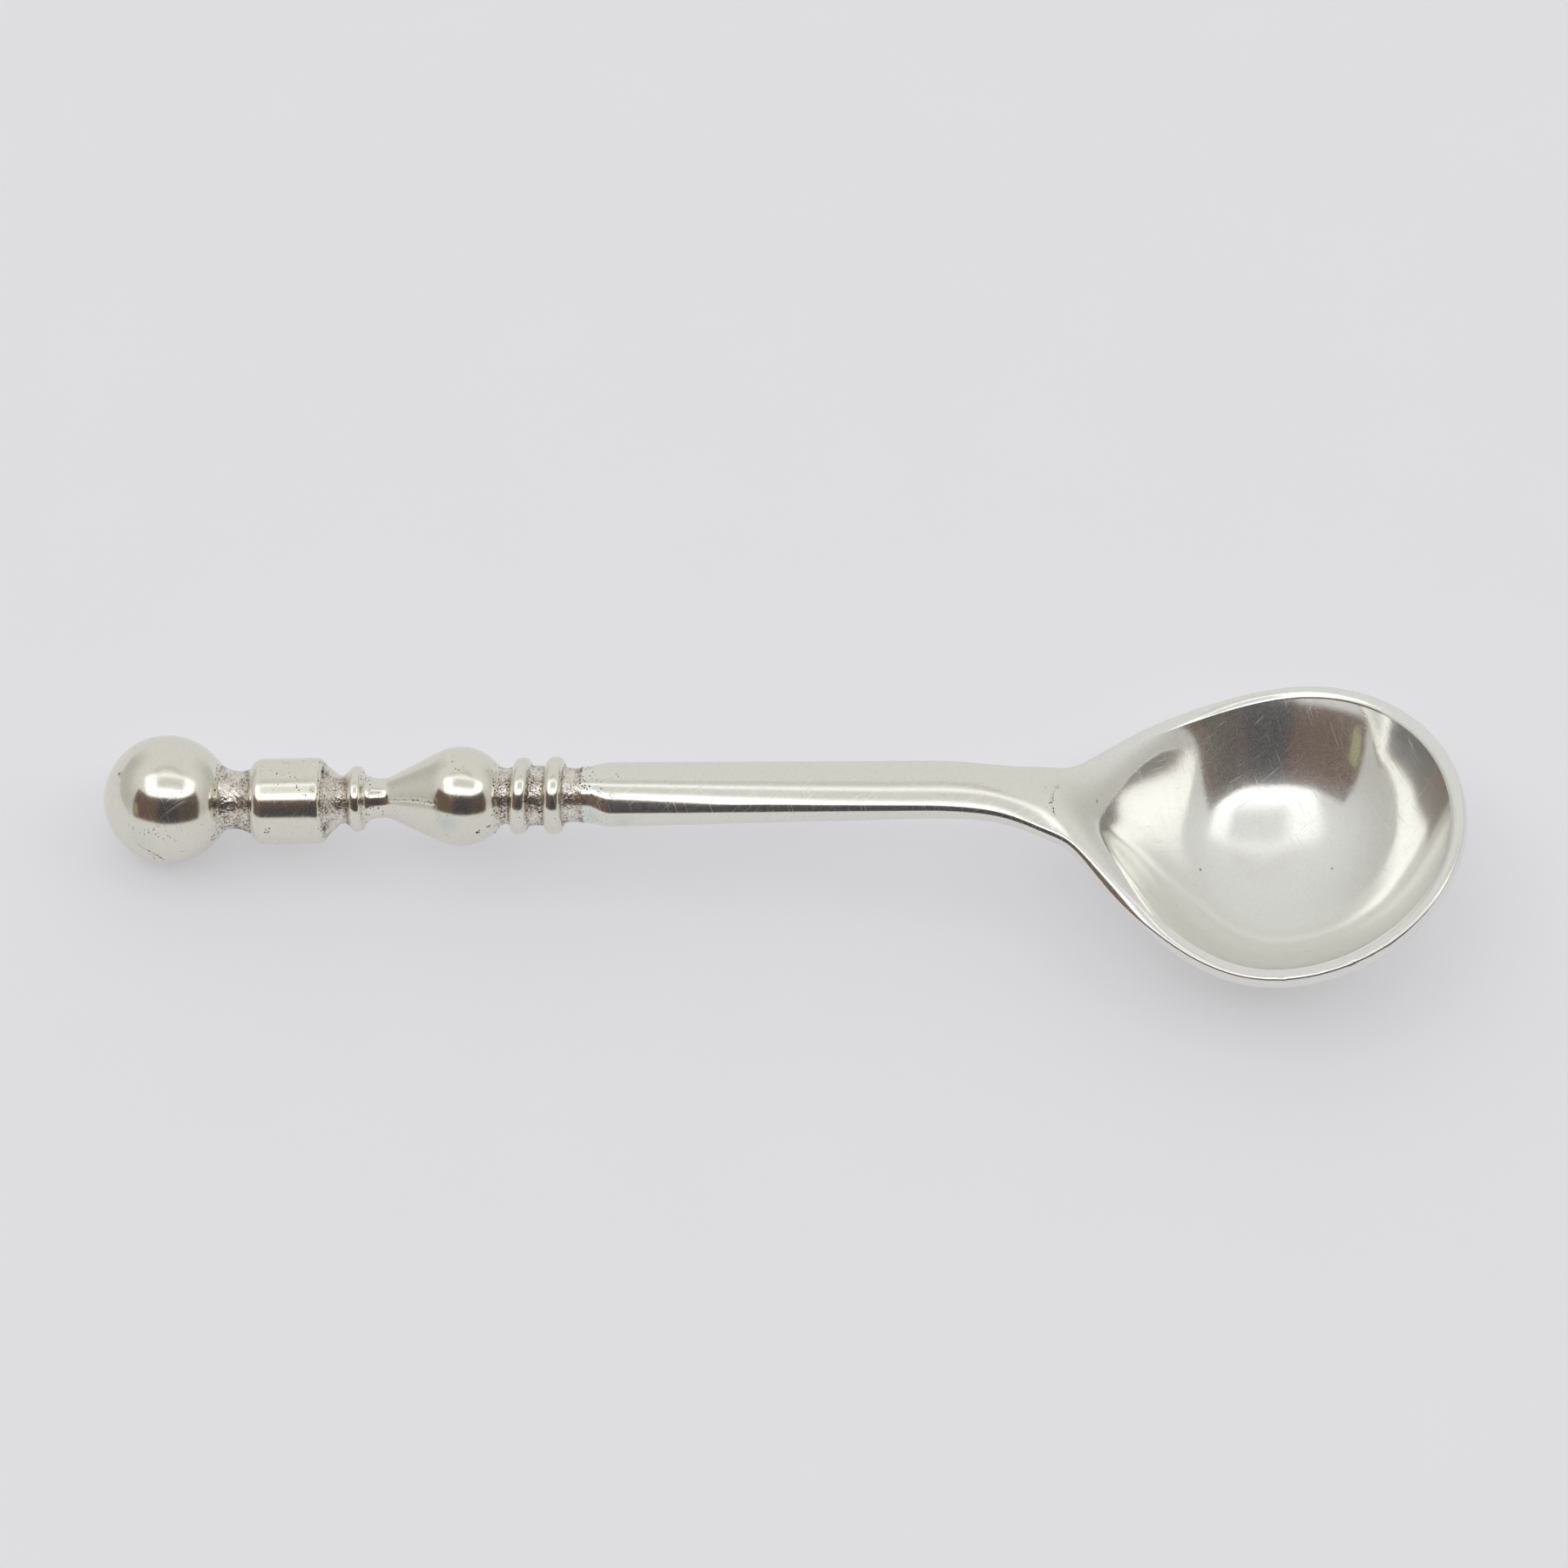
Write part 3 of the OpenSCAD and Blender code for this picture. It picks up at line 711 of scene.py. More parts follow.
@dataclass
class Body:
    """Stem and bowl: two sheets that a rounded edge thickens and joins."""

    stem_x: float
    bowl_r: float = 9.17
    bowl_depth: float = 4.75
    wall_a: float = 56.0
    rim_t: float = 0.96
    rim_ridge: float = 1.4
    heel_ext: float = 3.5
    hollow_ext: float = 1.3
    hollow_bow: float = 2.0
    hollow_edge: float = 16.0
    rim_tilt: float = 7.5
    rim_drop: float = 4.8
    stem_len: float = 23.2
    stem_w: float = 3.56
    stem_h: float = 2.96
    stem_edge_r: float = 1.15
    waist_w: float = 3.26
    heel_w: float = 4.9
    heel_h: float = 1.64
    heel_edge_r: float = 0.5
    shoulder_len: float = 1.5
    shoulder_grime: float = 0.5
    # The bowl's floor is worn most, from its middle out to the first share of the way to the rim
    floor_shares: tuple[float, float] = (0.3, 0.5)
    floor_scuffs: tuple[float, float] = (1.8, 1.7)
    wall_scuff: float = 0.9
    back_scuff: float = 0.2
    stem_scuff: float = 0.4
    heel_wear_len: float = 6.0
    bend_lead: float = 6.3
    bend_len: float = 19.9
    flare_lead: float = 3.05
    flare_len: float = 6.5
    hollow_lead: float = 0.6
    hollow_ease: float = 4.0
    heel_ease: float = 7.0
    height_power: float = 1.5
    outline_blend: float = 3.85
    least_crown: float = 0.02
    slope_step: float = 0.01
    peg_hole_d: float = 1.26
    peg_hole_depth: float = 5.0
    across: int = 56
    edge_steps: int = 16
    stem_steps: int = 300
    outline_steps: int = 190
    outline_samples: int = 1500
    upper_steps: int = 140
    lower_steps: int = 60
    neck_r: float = 1.45
    stem_marks: tuple[Mark, ...] = (
        # Pale green reflection tints painted on the stem's near side
        Mark((22.14, -1.5, 0.26), 0.35, 0, 0, 0.6),
        Mark((23.71, -1.76, 0.12), 0.45, 0, 0, 0.45),
    )
    bowl_marks: tuple[Mark, ...] = (
        Mark((47.83, 0.74, -2.44), 0.12, 0.02, 1.0),
        Mark((47.96, 0.44, -2.64), 0.1, 0.02, 0.9),
        Mark((52.81, 0.15, -8.06), 0.13, 0.02, 1.0),
        Mark((51.71, -3.06, -6.39), 0.12, 0.02, 0.8),
        Mark((59.58, 0.46, -8.62), 0.11, 0.02, 0.9),
    ) + mark_line([(45.96, 0.78, -1.0), (45.72, 0.24, -0.82), (45.6, -0.33, -0.76), (45.7, -0.71, -0.85),
                   (45.79, -0.97, -0.94)], 0.09, 0.1, 0.75)
    dents: int = 26
    dent_seed: int = 11
    dent_run: tuple[float, float] = (-1.2, 6.8)
    dent_top: int = 3
    dent_r: tuple[float, float] = (0.1, 0.2)
    dent_depth: tuple[float, float] = (0.01, 0.025)

    def __post_init__(self) -> None:
        """Works out the places and radii that follow from the sizes."""
        self.joint_x = self.stem_x + self.stem_len
        self.hollow_x = self.joint_x + self.hollow_lead
        self.bend_x = self.joint_x - self.bend_lead
        self.flare_x = self.joint_x - self.flare_lead
        self.rim_r = self.bowl_r - self.rim_t / 2
        self.wall_share = math.tan(math.radians(self.wall_a)) * self.rim_r / (2 * self.bowl_depth) - 1
        self.heel_reach = self.rim_r + self.heel_ext
        self.bowl_x = self.hollow_x + self.heel_reach

    def slope(self, height: Callable[[np.ndarray], np.ndarray], at: np.ndarray) -> np.ndarray:
        """How fast a height changes at some places, from a small step to both sides."""
        return (height(at + self.slope_step) - height(at - self.slope_step)) / (2 * self.slope_step)

    def edge_z(self, x: np.ndarray) -> np.ndarray:
        """Height of the edge line: the straight handle, then the bend down to the tilted rim."""
        tilt = math.tan(math.radians(self.rim_tilt))
        return ease((x - self.bend_x) / self.bend_len) * (tilt * (x - self.bowl_x) - self.rim_drop)

    def lean(self, x: np.ndarray) -> np.ndarray:
        """How far the sections lean with the surface: not in the stem, fully in the bowl."""
        return ease((x - self.joint_x) / self.heel_ease)

    def edge_r(self, x: np.ndarray) -> np.ndarray:
        """Radius of the rounded edge, from the knop end over the heel to the rim.

        Args:
            x: places along the handle.

        Returns:
            The radii.
        """
        along = np.clip((x - self.stem_x) / self.stem_len, 0, 1)
        bar = self.stem_edge_r + (self.heel_edge_r - self.stem_edge_r) * along
        return bar * (1 - self.lean(x)) + self.rim_t / 2 * self.lean(x)

    def bar_w(self, x: np.ndarray) -> np.ndarray:
        """Half width of the bar, between the centres of its rounded edges.

        Args:
            x: places along the handle.

        Returns:
            The half widths.
        """
        slim = np.minimum(1, (x - self.stem_x) / (self.flare_x - self.stem_x))
        flare = ease((x - self.flare_x) / self.flare_len)
        width = self.stem_w + (self.waist_w - self.stem_w) * slim + (self.heel_w - self.waist_w) * flare
        return width / 2 - self.edge_r(x)

    def bar_h(self, x: np.ndarray) -> np.ndarray:
        """Half height of the bar, without its rounded edge.

        Args:
            x: places along the handle.

        Returns:
            The half heights.
        """
        left = 1 - np.clip((x - self.stem_x) / self.stem_len, 0, 1)
        height = self.heel_h + (self.stem_h - self.heel_h) * left ** self.height_power
        return np.maximum(self.least_crown, height / 2 - self.edge_r(x))

    def dish_x(self, x: np.ndarray) -> np.ndarray:
        """Place on a round dish that a place along the drawn-out bowl stands for.

        Args:
            x: places along the handle.

        Returns:
            The places, from the middle of the dish.
        """
        d = np.maximum(-self.heel_reach, x - self.bowl_x)
        # The curve keeps pace with the front at the middle and comes to rest at the heel's end
        pace = self.heel_reach / self.rim_r
        u = np.minimum(0, d) / self.heel_reach
        heel = self.rim_r * u * (pace + u * u * (2.5 - 2 * pace + u * u * (pace - 1.5)))
        return np.where(d >= 0, d, heel)

    def bowl_w(self, x: np.ndarray) -> np.ndarray:
        """Half width of the bowl's own outline."""
        return np.sqrt(np.maximum(0, self.rim_r ** 2 - self.dish_x(x) ** 2))

    def sheet_w(self, x: np.ndarray) -> np.ndarray:
        """Half width of bar and bowl together.

        Args:
            x: places along the handle.

        Returns:
            The half widths.
        """
        bar = self.bar_w(x) * (1 - ease((x - self.hollow_x) / self.heel_reach))
        power = self.outline_blend
        return (self.bowl_w(x) ** power + np.maximum(bar, 0) ** power) ** (1 / power)

    def dish(self, x: np.ndarray, y: np.ndarray) -> np.ndarray:
        """Depth of the dish below the edge line: round in front, and up to the hollow's edge at the heel.

        Args:
            x: places along the handle.
            y: places across it.

        Returns:
            The depths.
        """
        across = (y / np.maximum(self.sheet_w(x), TINY)) ** 2
        reach = self.rim_r + self.hollow_ext - self.hollow_bow * np.minimum(across, 2)
        v = np.maximum(0, self.bowl_x - x) / reach
        back = v ** 2 * (1 + v ** self.hollow_edge) ** (-2 / self.hollow_edge)
        front = ((x - self.bowl_x) ** 2 + y ** 2) / self.rim_r ** 2
        q = np.where(x < self.bowl_x, back + (1 - back) * across, front)
        return self.bowl_depth * (1 - q) * (1 + self.wall_share * q)

    def crown(self, x: np.ndarray, y: np.ndarray) -> np.ndarray:
        """Height of the bar's crown."""
        return self.bar_h(x) * (1 - (y / np.maximum(self.sheet_w(x), TINY)) ** 2)

    def sheet(self, x: np.ndarray, y: np.ndarray, upper: bool) -> np.ndarray:
        """Height of a sheet of the body.

        Args:
            x: places along the handle.
            y: places across it.
            upper: the upper sheet, or else the lower one.

        Returns:
            The heights.
        """
        deep = ease((x - self.joint_x) / self.hollow_ease)
        bar = 1 - deep if upper else self.lean(x) - 1
        return self.edge_z(x) + np.where(bar == 0, 0, bar * self.crown(x, y)) - deep * self.dish(x, y)

    def skin(self, x: np.ndarray, y: np.ndarray, upper: bool) -> tuple[np.ndarray, np.ndarray]:
        """Points of the body's skin over a sheet, and the sheet's upward normals.

        Args:
            x: places along the handle.
            y: places across it.
            upper: the upper skin, or else the lower one.

        Returns:
            The points and the normals.
        """
        x, y = np.broadcast_arrays(np.asarray(x, float), np.asarray(y, float))
        slope_x = self.slope(lambda at: self.sheet(at, y, upper), x)
        slope_y = self.slope(lambda at: self.sheet(x, at, upper), y)
        normal = unit(np.stack([-self.lean(x) * slope_x, -slope_y, np.ones_like(x)], -1))
        rise = (1 if upper else -1) * self.edge_r(x)[..., None] * normal
        return np.stack([x, y, self.sheet(x, y, upper)], -1) + rise, normal

    def edge_arcs(self, x: np.ndarray) -> np.ndarray:
        """Points round the +Y edge, from the upper to the lower skin.

        Args:
            x: places along the edge.

        Returns:
            A row of points for each place.
        """
        width = self.sheet_w(x)
        up, down = self.skin(x, width, True)[1], self.skin(x, width, False)[1]
        slope, spread = self.slope(self.edge_z, x), self.slope(self.sheet_w, x)
        heel = np.stack([np.ones_like(x), self.lean(x) * spread, self.lean(x) * slope], -1)
        front = np.stack([width, self.bowl_x - x, slope * width], -1)
        front[width < TINY] = (0, -1, 0)
        run = unit(np.where((x >= self.bowl_x)[:, None], front, heel))
        middle = unit(up + down)
        out = unit(np.cross(middle, run))
        first = np.arctan2((up * out).sum(-1), (up * middle).sum(-1))
        last = np.arctan2(-(down * out).sum(-1), -(down * middle).sum(-1)) % (2 * np.pi)
        t = np.linspace(0, 1, self.edge_steps + 1)
        turn = first[:, None] + (last - first)[:, None] * t
        # Round on the stem, filed to a ridge along the rim
        power = (2 + (self.rim_ridge - 2) * self.lean(x))[:, None]
        shape = (np.abs(np.cos(np.pi * t)) ** power + np.abs(np.sin(np.pi * t)) ** power) ** (-1 / power)
        reach = (self.edge_r(x)[:, None] * shape)[..., None]
        middle, out = middle[:, None], out[:, None]
        edge = np.stack([x, width, self.edge_z(x)], -1)[:, None]
        return edge + reach * (np.cos(turn)[..., None] * middle + np.sin(turn)[..., None] * out)

    def cross_spots(self, x: float) -> np.ndarray:
        """Places across a section, closer together towards its edges."""
        width = float(self.sheet_w(np.array(x)))
        return width * np.sin(np.pi * (np.arange(1, self.across) / self.across - 0.5))

    def stem_rings(self) -> np.ndarray:
        """Rings of points along the stem, its end faces and the hole for the peg.

        Returns:
            Rings of equal length, from the bottom of the peg's hole to the middle of the joint face.
        """
        xs = np.linspace(self.stem_x, self.joint_x, self.stem_steps)
        rings = []
        for x, edge in zip(xs, self.edge_arcs(xs)):
            ys = self.cross_spots(x)
            ring = np.concatenate([self.skin(x, ys, True)[0], edge, self.skin(x, ys, False)[0][::-1],
                                   (edge * [1, -1, 1])[::-1]])
            # The stem grows out of its round neck over the shoulder
            square = ease((x - self.stem_x) / self.shoulder_len)
            neck = unit(ring * [0, 1, 1]) * self.neck_r + [x, 0, 0]
            rings.append(neck + (ring - neck) * square)
        turn = np.arctan2(rings[0][:, 2], rings[0][:, 1])
        hole = np.stack([np.full_like(turn, self.stem_x), np.cos(turn) * self.peg_hole_d / 2,
                         np.sin(turn) * self.peg_hole_d / 2], -1)
        deep = hole + [self.peg_hole_depth, 0, 0]
        bottom = np.tile([self.stem_x + self.peg_hole_depth, 0, 0], (len(turn), 1))
        joint = np.tile(rings[-1].mean(0), (len(turn), 1))
        return np.array([bottom, deep, hole, *rings, joint])

    def bowl_rings(self) -> np.ndarray:
        """Rings of points from the middle of the hollow out to the rim and back under the bowl.

        Returns:
            Rings of equal length, the first and the last of which are single points.
        """
        samples = self.outline_samples
        xs = np.concatenate([np.linspace(self.joint_x, self.bowl_x, samples)[:-1],
                             self.bowl_x + self.rim_r * np.sin(np.linspace(0, np.pi / 2, samples))])
        ws = self.sheet_w(xs)
        ws[-1] = 0
        run = run_along(np.stack([xs, ws], -1))
        x = np.interp(np.linspace(0, run[-1], self.outline_steps), run, xs)
        arcs = self.edge_arcs(x)
        ys = self.cross_spots(self.joint_x)
        tops, lows = self.skin(self.joint_x, ys, True)[0], self.skin(self.joint_x, ys, False)[0]
        t = np.linspace(0, 1, self.edge_steps + 1)[:, None]
        face = tops[:, None] * (1 - t) + lows[:, None] * t
        rim = np.concatenate([arcs, (arcs[-2::-1] * [1, -1, 1]), face])
        plan_x = np.concatenate([x, x[-2::-1], np.full_like(ys, self.joint_x)])
        plan_y = np.concatenate([self.sheet_w(x), -self.sheet_w(x[-2::-1]), ys])
        middle = self.bowl_x - self.heel_ext / 2
        sheets = []
        for steps, above in ((self.upper_steps, True), (self.lower_steps, False)):
            share = np.sin(np.pi / 2 * np.linspace(0, 1, steps + 1)[:-1])[:, None]
            sheets.append(self.skin(middle + share * (plan_x - middle), share * plan_y, above)[0])
        return np.concatenate([sheets[0], np.swapaxes(rim, 0, 1), sheets[1][::-1]])

    def rim_dents(self) -> tuple[Mark, ...]:
        """Small knocks at seeded places along the near rim, where it strikes the pot.

        Returns:
            The marks.
        """
        rng = np.random.default_rng(self.dent_seed)
        x = self.bowl_x + np.sort(rng.uniform(*self.dent_run, self.dents))
        steps = rng.integers(self.dent_top, self.edge_steps // 2 + 1, self.dents)
        spots = self.edge_arcs(x)[np.arange(self.dents), steps] * [1, -1, 1]
        spans = (self.dent_r, self.dent_depth)
        return tuple(Mark(tuple(spot), *(float(rng.uniform(*span)) for span in spans), 0) for spot in spots)

    def bowl_scuff(self, rings: np.ndarray) -> np.ndarray:
        """How worn each point of the bowl's rings is: the floor most, and the heel no more than the stem.

        Args:
            rings: points of the bowl, by ring and place round it.

        Returns:
            The wear, where 0 is none.
        """
        low, high = (share * self.upper_steps for share in self.floor_shares)
        rim = self.upper_steps + self.edge_steps
        worn = np.interp(np.arange(len(rings)), (0, low, high, rim, rim + 1),
                         (*self.floor_scuffs, self.wall_scuff, self.wall_scuff, self.back_scuff))
        heel = ease((rings[..., 0] - self.joint_x) / self.heel_wear_len)
        return self.stem_scuff + (worn[:, None] - self.stem_scuff) * heel

    def build(self, handle: Handle, finish: Material) -> None:
        """Builds stem and bowl.

        Args:
            handle: the handle's frame.
            finish: the material of both.
        """
        stem, bowl = self.stem_rings(), self.bowl_rings()
        near = np.exp(-((stem[:, :, 0].mean(1) - self.stem_x) / self.shoulder_len) ** 2)
        stem_wear = {SCUFF: np.full(len(stem), self.stem_scuff), TARNISH: self.shoulder_grime * near}
        bowl_wear = {SCUFF: self.bowl_scuff(bowl), TARNISH: np.zeros(len(bowl))}
        for node, rings, wear, marks in (("stem", stem, stem_wear, self.stem_marks),
                                         ("bowl", bowl, bowl_wear, self.bowl_marks + self.rim_dents())):
            points = handle.place(rings)
            points[..., 2] = np.maximum(points[..., 2], 0)
            piece = ring_piece(node + "_silver", points, wear, finish)
            apply_marks(piece.data, handle, marks)
            finish_piece(piece, node, Slot.POLISHED)


def ring_piece(name: str, rings: np.ndarray, carried: dict[str, np.ndarray], finish: Material) -> Object:
    """Joins closed rings of points into a closed mesh, whose first and last rings are single points.

    Args:
        name: the piece's name.
        rings: points in metres, by ring and place round it.
        carried: values of the rings, or of their points, by attribute name.
        finish: the material.

    Returns:
        The piece, with its faces outwards.
    """
    count, around = rings.shape[:2]
    points = np.concatenate([rings[0, :1], rings[1:-1].reshape(-1, 3), rings[-1, :1]])
    index = 1 + np.arange((count - 2) * around).reshape(count - 2, around)
    after = np.roll(index, -1, 1)
    quads = np.stack([index[:-1], after[:-1], after[1:], index[1:]], -1).reshape(-1, 4)
    first = np.stack([np.zeros(around, int), after[0], index[0]], -1)
    last = np.stack([np.full(around, len(points) - 1), index[-1], after[-1]], -1)
    corners = points[np.concatenate([quads[:, [0, 1, 2]], quads[:, [0, 2, 3]], first, last])]
    volume = np.einsum("ij,ij->i", corners[:, 0], np.cross(corners[:, 1], corners[:, 2])).sum()
    faces = quads.tolist() + first.tolist() + last.tolist()
    mesh = bpy.data.meshes.new(name)
    mesh.from_pydata(points.tolist(), [], faces if volume > 0 else [face[::-1] for face in faces])
    for key, values in carried.items():
        wide = np.broadcast_to(values.reshape(count, -1), (count, around)).astype(float)
        spread = np.concatenate([wide[0, :1], wide[1:-1].ravel(), wide[-1, :1]])
        mesh.attributes.new(key, "FLOAT", "POINT").data.foreach_set("value", spread)
    mesh.materials.append(finish)
    mesh.shade_smooth()
    mesh.set_sharp_from_angle(angle=CREASE)
    return add_object(name, mesh)


@dataclass
class Bead:
    """One turned piece of the knop.

    Attributes:
        node: the solid that it stands for.
        slot: the slot of its finish.
        skin: its outline from the ball's side to the stem's side, as places along the handle and radii.
        grime: how far tarnish reaches in from its two ends.
        marks: pits and stains on it.
    """

    node: str
    slot: Slot
    skin: np.ndarray
    grime: tuple[float, float]
    marks: tuple[Mark, ...] = ()


def arc(x: float, r: float, radius: float, start: float, end: float, steps: int = 40) -> np.ndarray:
    """Points of an arc in a turned outline.

    Args:
        x: its centre along the handle.
        r: its centre's distance from the axis.
        radius: its radius.
        start: its first angle, in degrees from the handle's direction.
        end: its last angle.
        steps: the number of points.

    Returns:
        Places along the handle and radii.
    """
    a = np.radians(np.linspace(start, end, steps))
    return np.stack([x + radius * np.cos(a), r + radius * np.sin(a)], -1)


class Lathe:
    """Geometry Nodes tree that turns an outline about the handle's axis and gives it its casting grain."""

    MERGE_M: float = 2e-8
    GRAIN_LEVEL: float = 0.6
    INPUTS: dict[str, str] = {
        "Outline": "Geometry", "Facets": "Int", "Pitch": "Float", "Middle": "Vector", "Grain size": "Float",
        "Grain height": "Float", "Seed": "Float", "Crease": "Float", "Finish": "Material"}

    def __init__(self) -> None:
        """Builds the tree."""
        tree = self.tree = bpy.data.node_groups.new("lathe", "GeometryNodeTree")
        tree.interface.new_socket("Piece", in_out="OUTPUT", socket_type="NodeSocketGeometry")
        for name, kind in self.INPUTS.items():
            tree.interface.new_socket(name, in_out="INPUT", socket_type="NodeSocket" + kind)
        given = add_node(tree, "NodeGroupInput")
        rows = add_node(tree, "GeometryNodeAttributeDomainSize", (given["Outline"],))["Point Count"]
        columns = add_node(tree, MATH, (given["Facets"], 1.0), operation="ADD")[0]
        grid = add_node(tree, "GeometryNodeMeshGrid", {"Vertices X": rows, "Vertices Y": columns})["Mesh"]
        # Row of the outline and place round the axis that a point of the grid stands for
        index = add_node(tree, "GeometryNodeInputIndex")[0]
        share = add_node(tree, MATH, (index, columns), operation="DIVIDE")[0]
        row = add_node(tree, MATH, (share,), operation="FLOOR")[0]
        turn = add_node(tree, MATH, (share, row), operation="SUBTRACT")[0]
        turn = add_node(tree, MATH, (turn, columns), operation="MULTIPLY")[0]
        turn = add_node(tree, MATH, (turn,), operation="ROUND")[0]
        turn = add_node(tree, MATH, (turn, given["Facets"]), operation="DIVIDE")[0]
        turn = add_node(tree, MATH, (turn, math.tau), operation="MULTIPLY")[0]
        place = add_node(tree, "GeometryNodeInputPosition")[0]
        spot = add_node(tree, "GeometryNodeSampleIndex",
                        {"Geometry": given["Outline"], "Value": place, "Index": row},
                        data_type="FLOAT_VECTOR")[0]
        line = add_node(tree, "ShaderNodeSeparateXYZ", (spot,))
        lean, wander, grain, tarnish = (self.carry(given["Outline"], row, name)
                                        for name in ("lean", "wander", "grain", TARNISH))
        across, up = (add_node(tree, MATH, (turn,), operation=way)[0] for way in ("COSINE", "SINE"))
        across, up = (add_node(tree, MATH, (swing, line["Z"]), operation="MULTIPLY")[0]
                      for swing in (across, up))
        # The leaning collars: the upper side, as the camera sees it, lies further along the handle
        tall = add_node(tree, MATH, (across, up), operation="ADD")[0]
        along = add_node(tree, MATH, (tall, lean, line["X"]), operation="MULTIPLY_ADD")[0]
        across = add_node(tree, MATH, (across, wander), operation="ADD")[0]
        local = add_node(tree, "ShaderNodeCombineXYZ", (along, across, up))[0]
        down = add_node(tree, MATH, (given["Pitch"], -1.0), operation="MULTIPLY")[0]
        turned = add_node(tree, "ShaderNodeVectorRotate", {"Vector": local, "Angle": down},
                          rotation_type="Y_AXIS")[0]
        put = add_node(tree, "ShaderNodeVectorMath", (turned, given["Middle"]), operation="ADD")[0]
        mesh = add_node(tree, "GeometryNodeSetPosition", {"Geometry": grid, "Position": put})[0]
        for name, value in ((TARNISH, tarnish), ("grain", grain)):
            mesh = add_node(tree, "GeometryNodeStoreNamedAttribute",
                            {"Geometry": mesh, "Name": name, "Value": value}, data_type="FLOAT")[0]
        mesh = add_node(tree, "GeometryNodeMergeByDistance",
                        {"Geometry": mesh, "Distance": self.MERGE_M})[0]
        # Casting grain, along the normal and only on the skin
        often = add_node(tree, MATH, (1.0, given["Grain size"]), operation="DIVIDE")[0]
        noise = add_node(tree, NOISE, {"Vector": place, "W": given["Seed"], "Scale": often, "Detail": 2.0},
                         noise_dimensions="4D")["Fac"]
        rough = add_node(tree, MATH, (noise, self.GRAIN_LEVEL), operation="SUBTRACT")[0]
        skin = add_node(tree, "GeometryNodeInputNamedAttribute", {"Name": "grain"}, data_type="FLOAT")[0]
        for gain in (given["Grain height"], skin):
            rough = add_node(tree, MATH, (rough, gain), operation="MULTIPLY")[0]
        normal = add_node(tree, "GeometryNodeInputNormal")[0]
        offset = add_node(tree, "ShaderNodeVectorMath", {0: normal, "Scale": rough}, operation="SCALE")[0]
        mesh = add_node(tree, "GeometryNodeSetPosition", {"Geometry": mesh, "Offset": offset})[0]
        mesh = add_node(tree, "GeometryNodeSetShadeSmooth", {"Geometry": mesh}, domain="FACE")[0]
        bend = add_node(tree, "GeometryNodeInputMeshEdgeAngle")["Unsigned Angle"]
        crease = add_node(tree, MATH, (bend, given["Crease"]), operation="GREATER_THAN")[0]
        mesh = add_node(tree, "GeometryNodeSetShadeSmooth",
                        {"Geometry": mesh, "Selection": crease, "Shade Smooth": False}, domain="EDGE")[0]
        mesh = add_node(tree, "GeometryNodeRealizeInstances", {"Geometry": mesh})[0]
        mesh = add_node(tree, "GeometryNodeSetMaterial", {"Geometry": mesh, "Material": given["Finish"]})[0]
        add_node(tree, "NodeGroupOutput", {"Piece": mesh})

    def carry(self, outline: NodeSocket, row: NodeSocket, name: str) -> NodeSocket:
        """Carries a value from the outline's points over to the turned piece.

        Args:
            outline: the outline.
            row: the outline's point that a point of the piece stands for.
            name: the value's attribute name.

        Returns:
            The value on the piece.
        """
        value = add_node(self.tree, "GeometryNodeInputNamedAttribute", {"Name": name}, data_type="FLOAT")[0]
        return add_node(self.tree, "GeometryNodeSampleIndex",
                        {"Geometry": outline, "Value": value, "Index": row}, data_type="FLOAT")[0]

    def turn(self, name: str, outline: np.ndarray, carried: dict[str, np.ndarray],
             sizes: dict[str, Any]) -> Object:
        """Turns one outline into a piece.

        Args:
            name: the piece's name.
            outline: places along the handle and radii, in millimetres.
            carried: values of the outline's points by attribute name.
            sizes: values of the tree's inputs by name.

        Returns:
            The piece, as a plain mesh.
        """
        mesh = bpy.data.meshes.new(name)
        points = np.stack([outline[:, 0], np.zeros(len(outline)), outline[:, 1]], -1) * MM
        mesh.from_pydata(points.tolist(), [(i, i + 1) for i in range(len(points) - 1)], [])
        for key, values in carried.items():
            mesh.attributes.new(key, "FLOAT", "POINT").data.foreach_set("value", values)
        piece = add_object(name, mesh)
        tool = piece.modifiers.new("lathe", "NODES")
        tool.node_group = self.tree
        for item in self.tree.interface.items_tree:
            if item.in_out == "INPUT" and item.name in sizes:
                tool[item.identifier] = sizes[item.name]
        found = bpy.data.meshes.new_from_object(piece.evaluated_get(bpy.context.evaluated_depsgraph_get()))
        piece.modifiers.remove(tool)
        piece.data = found
        found.name = name
        bpy.data.meshes.remove(mesh)
        return piece


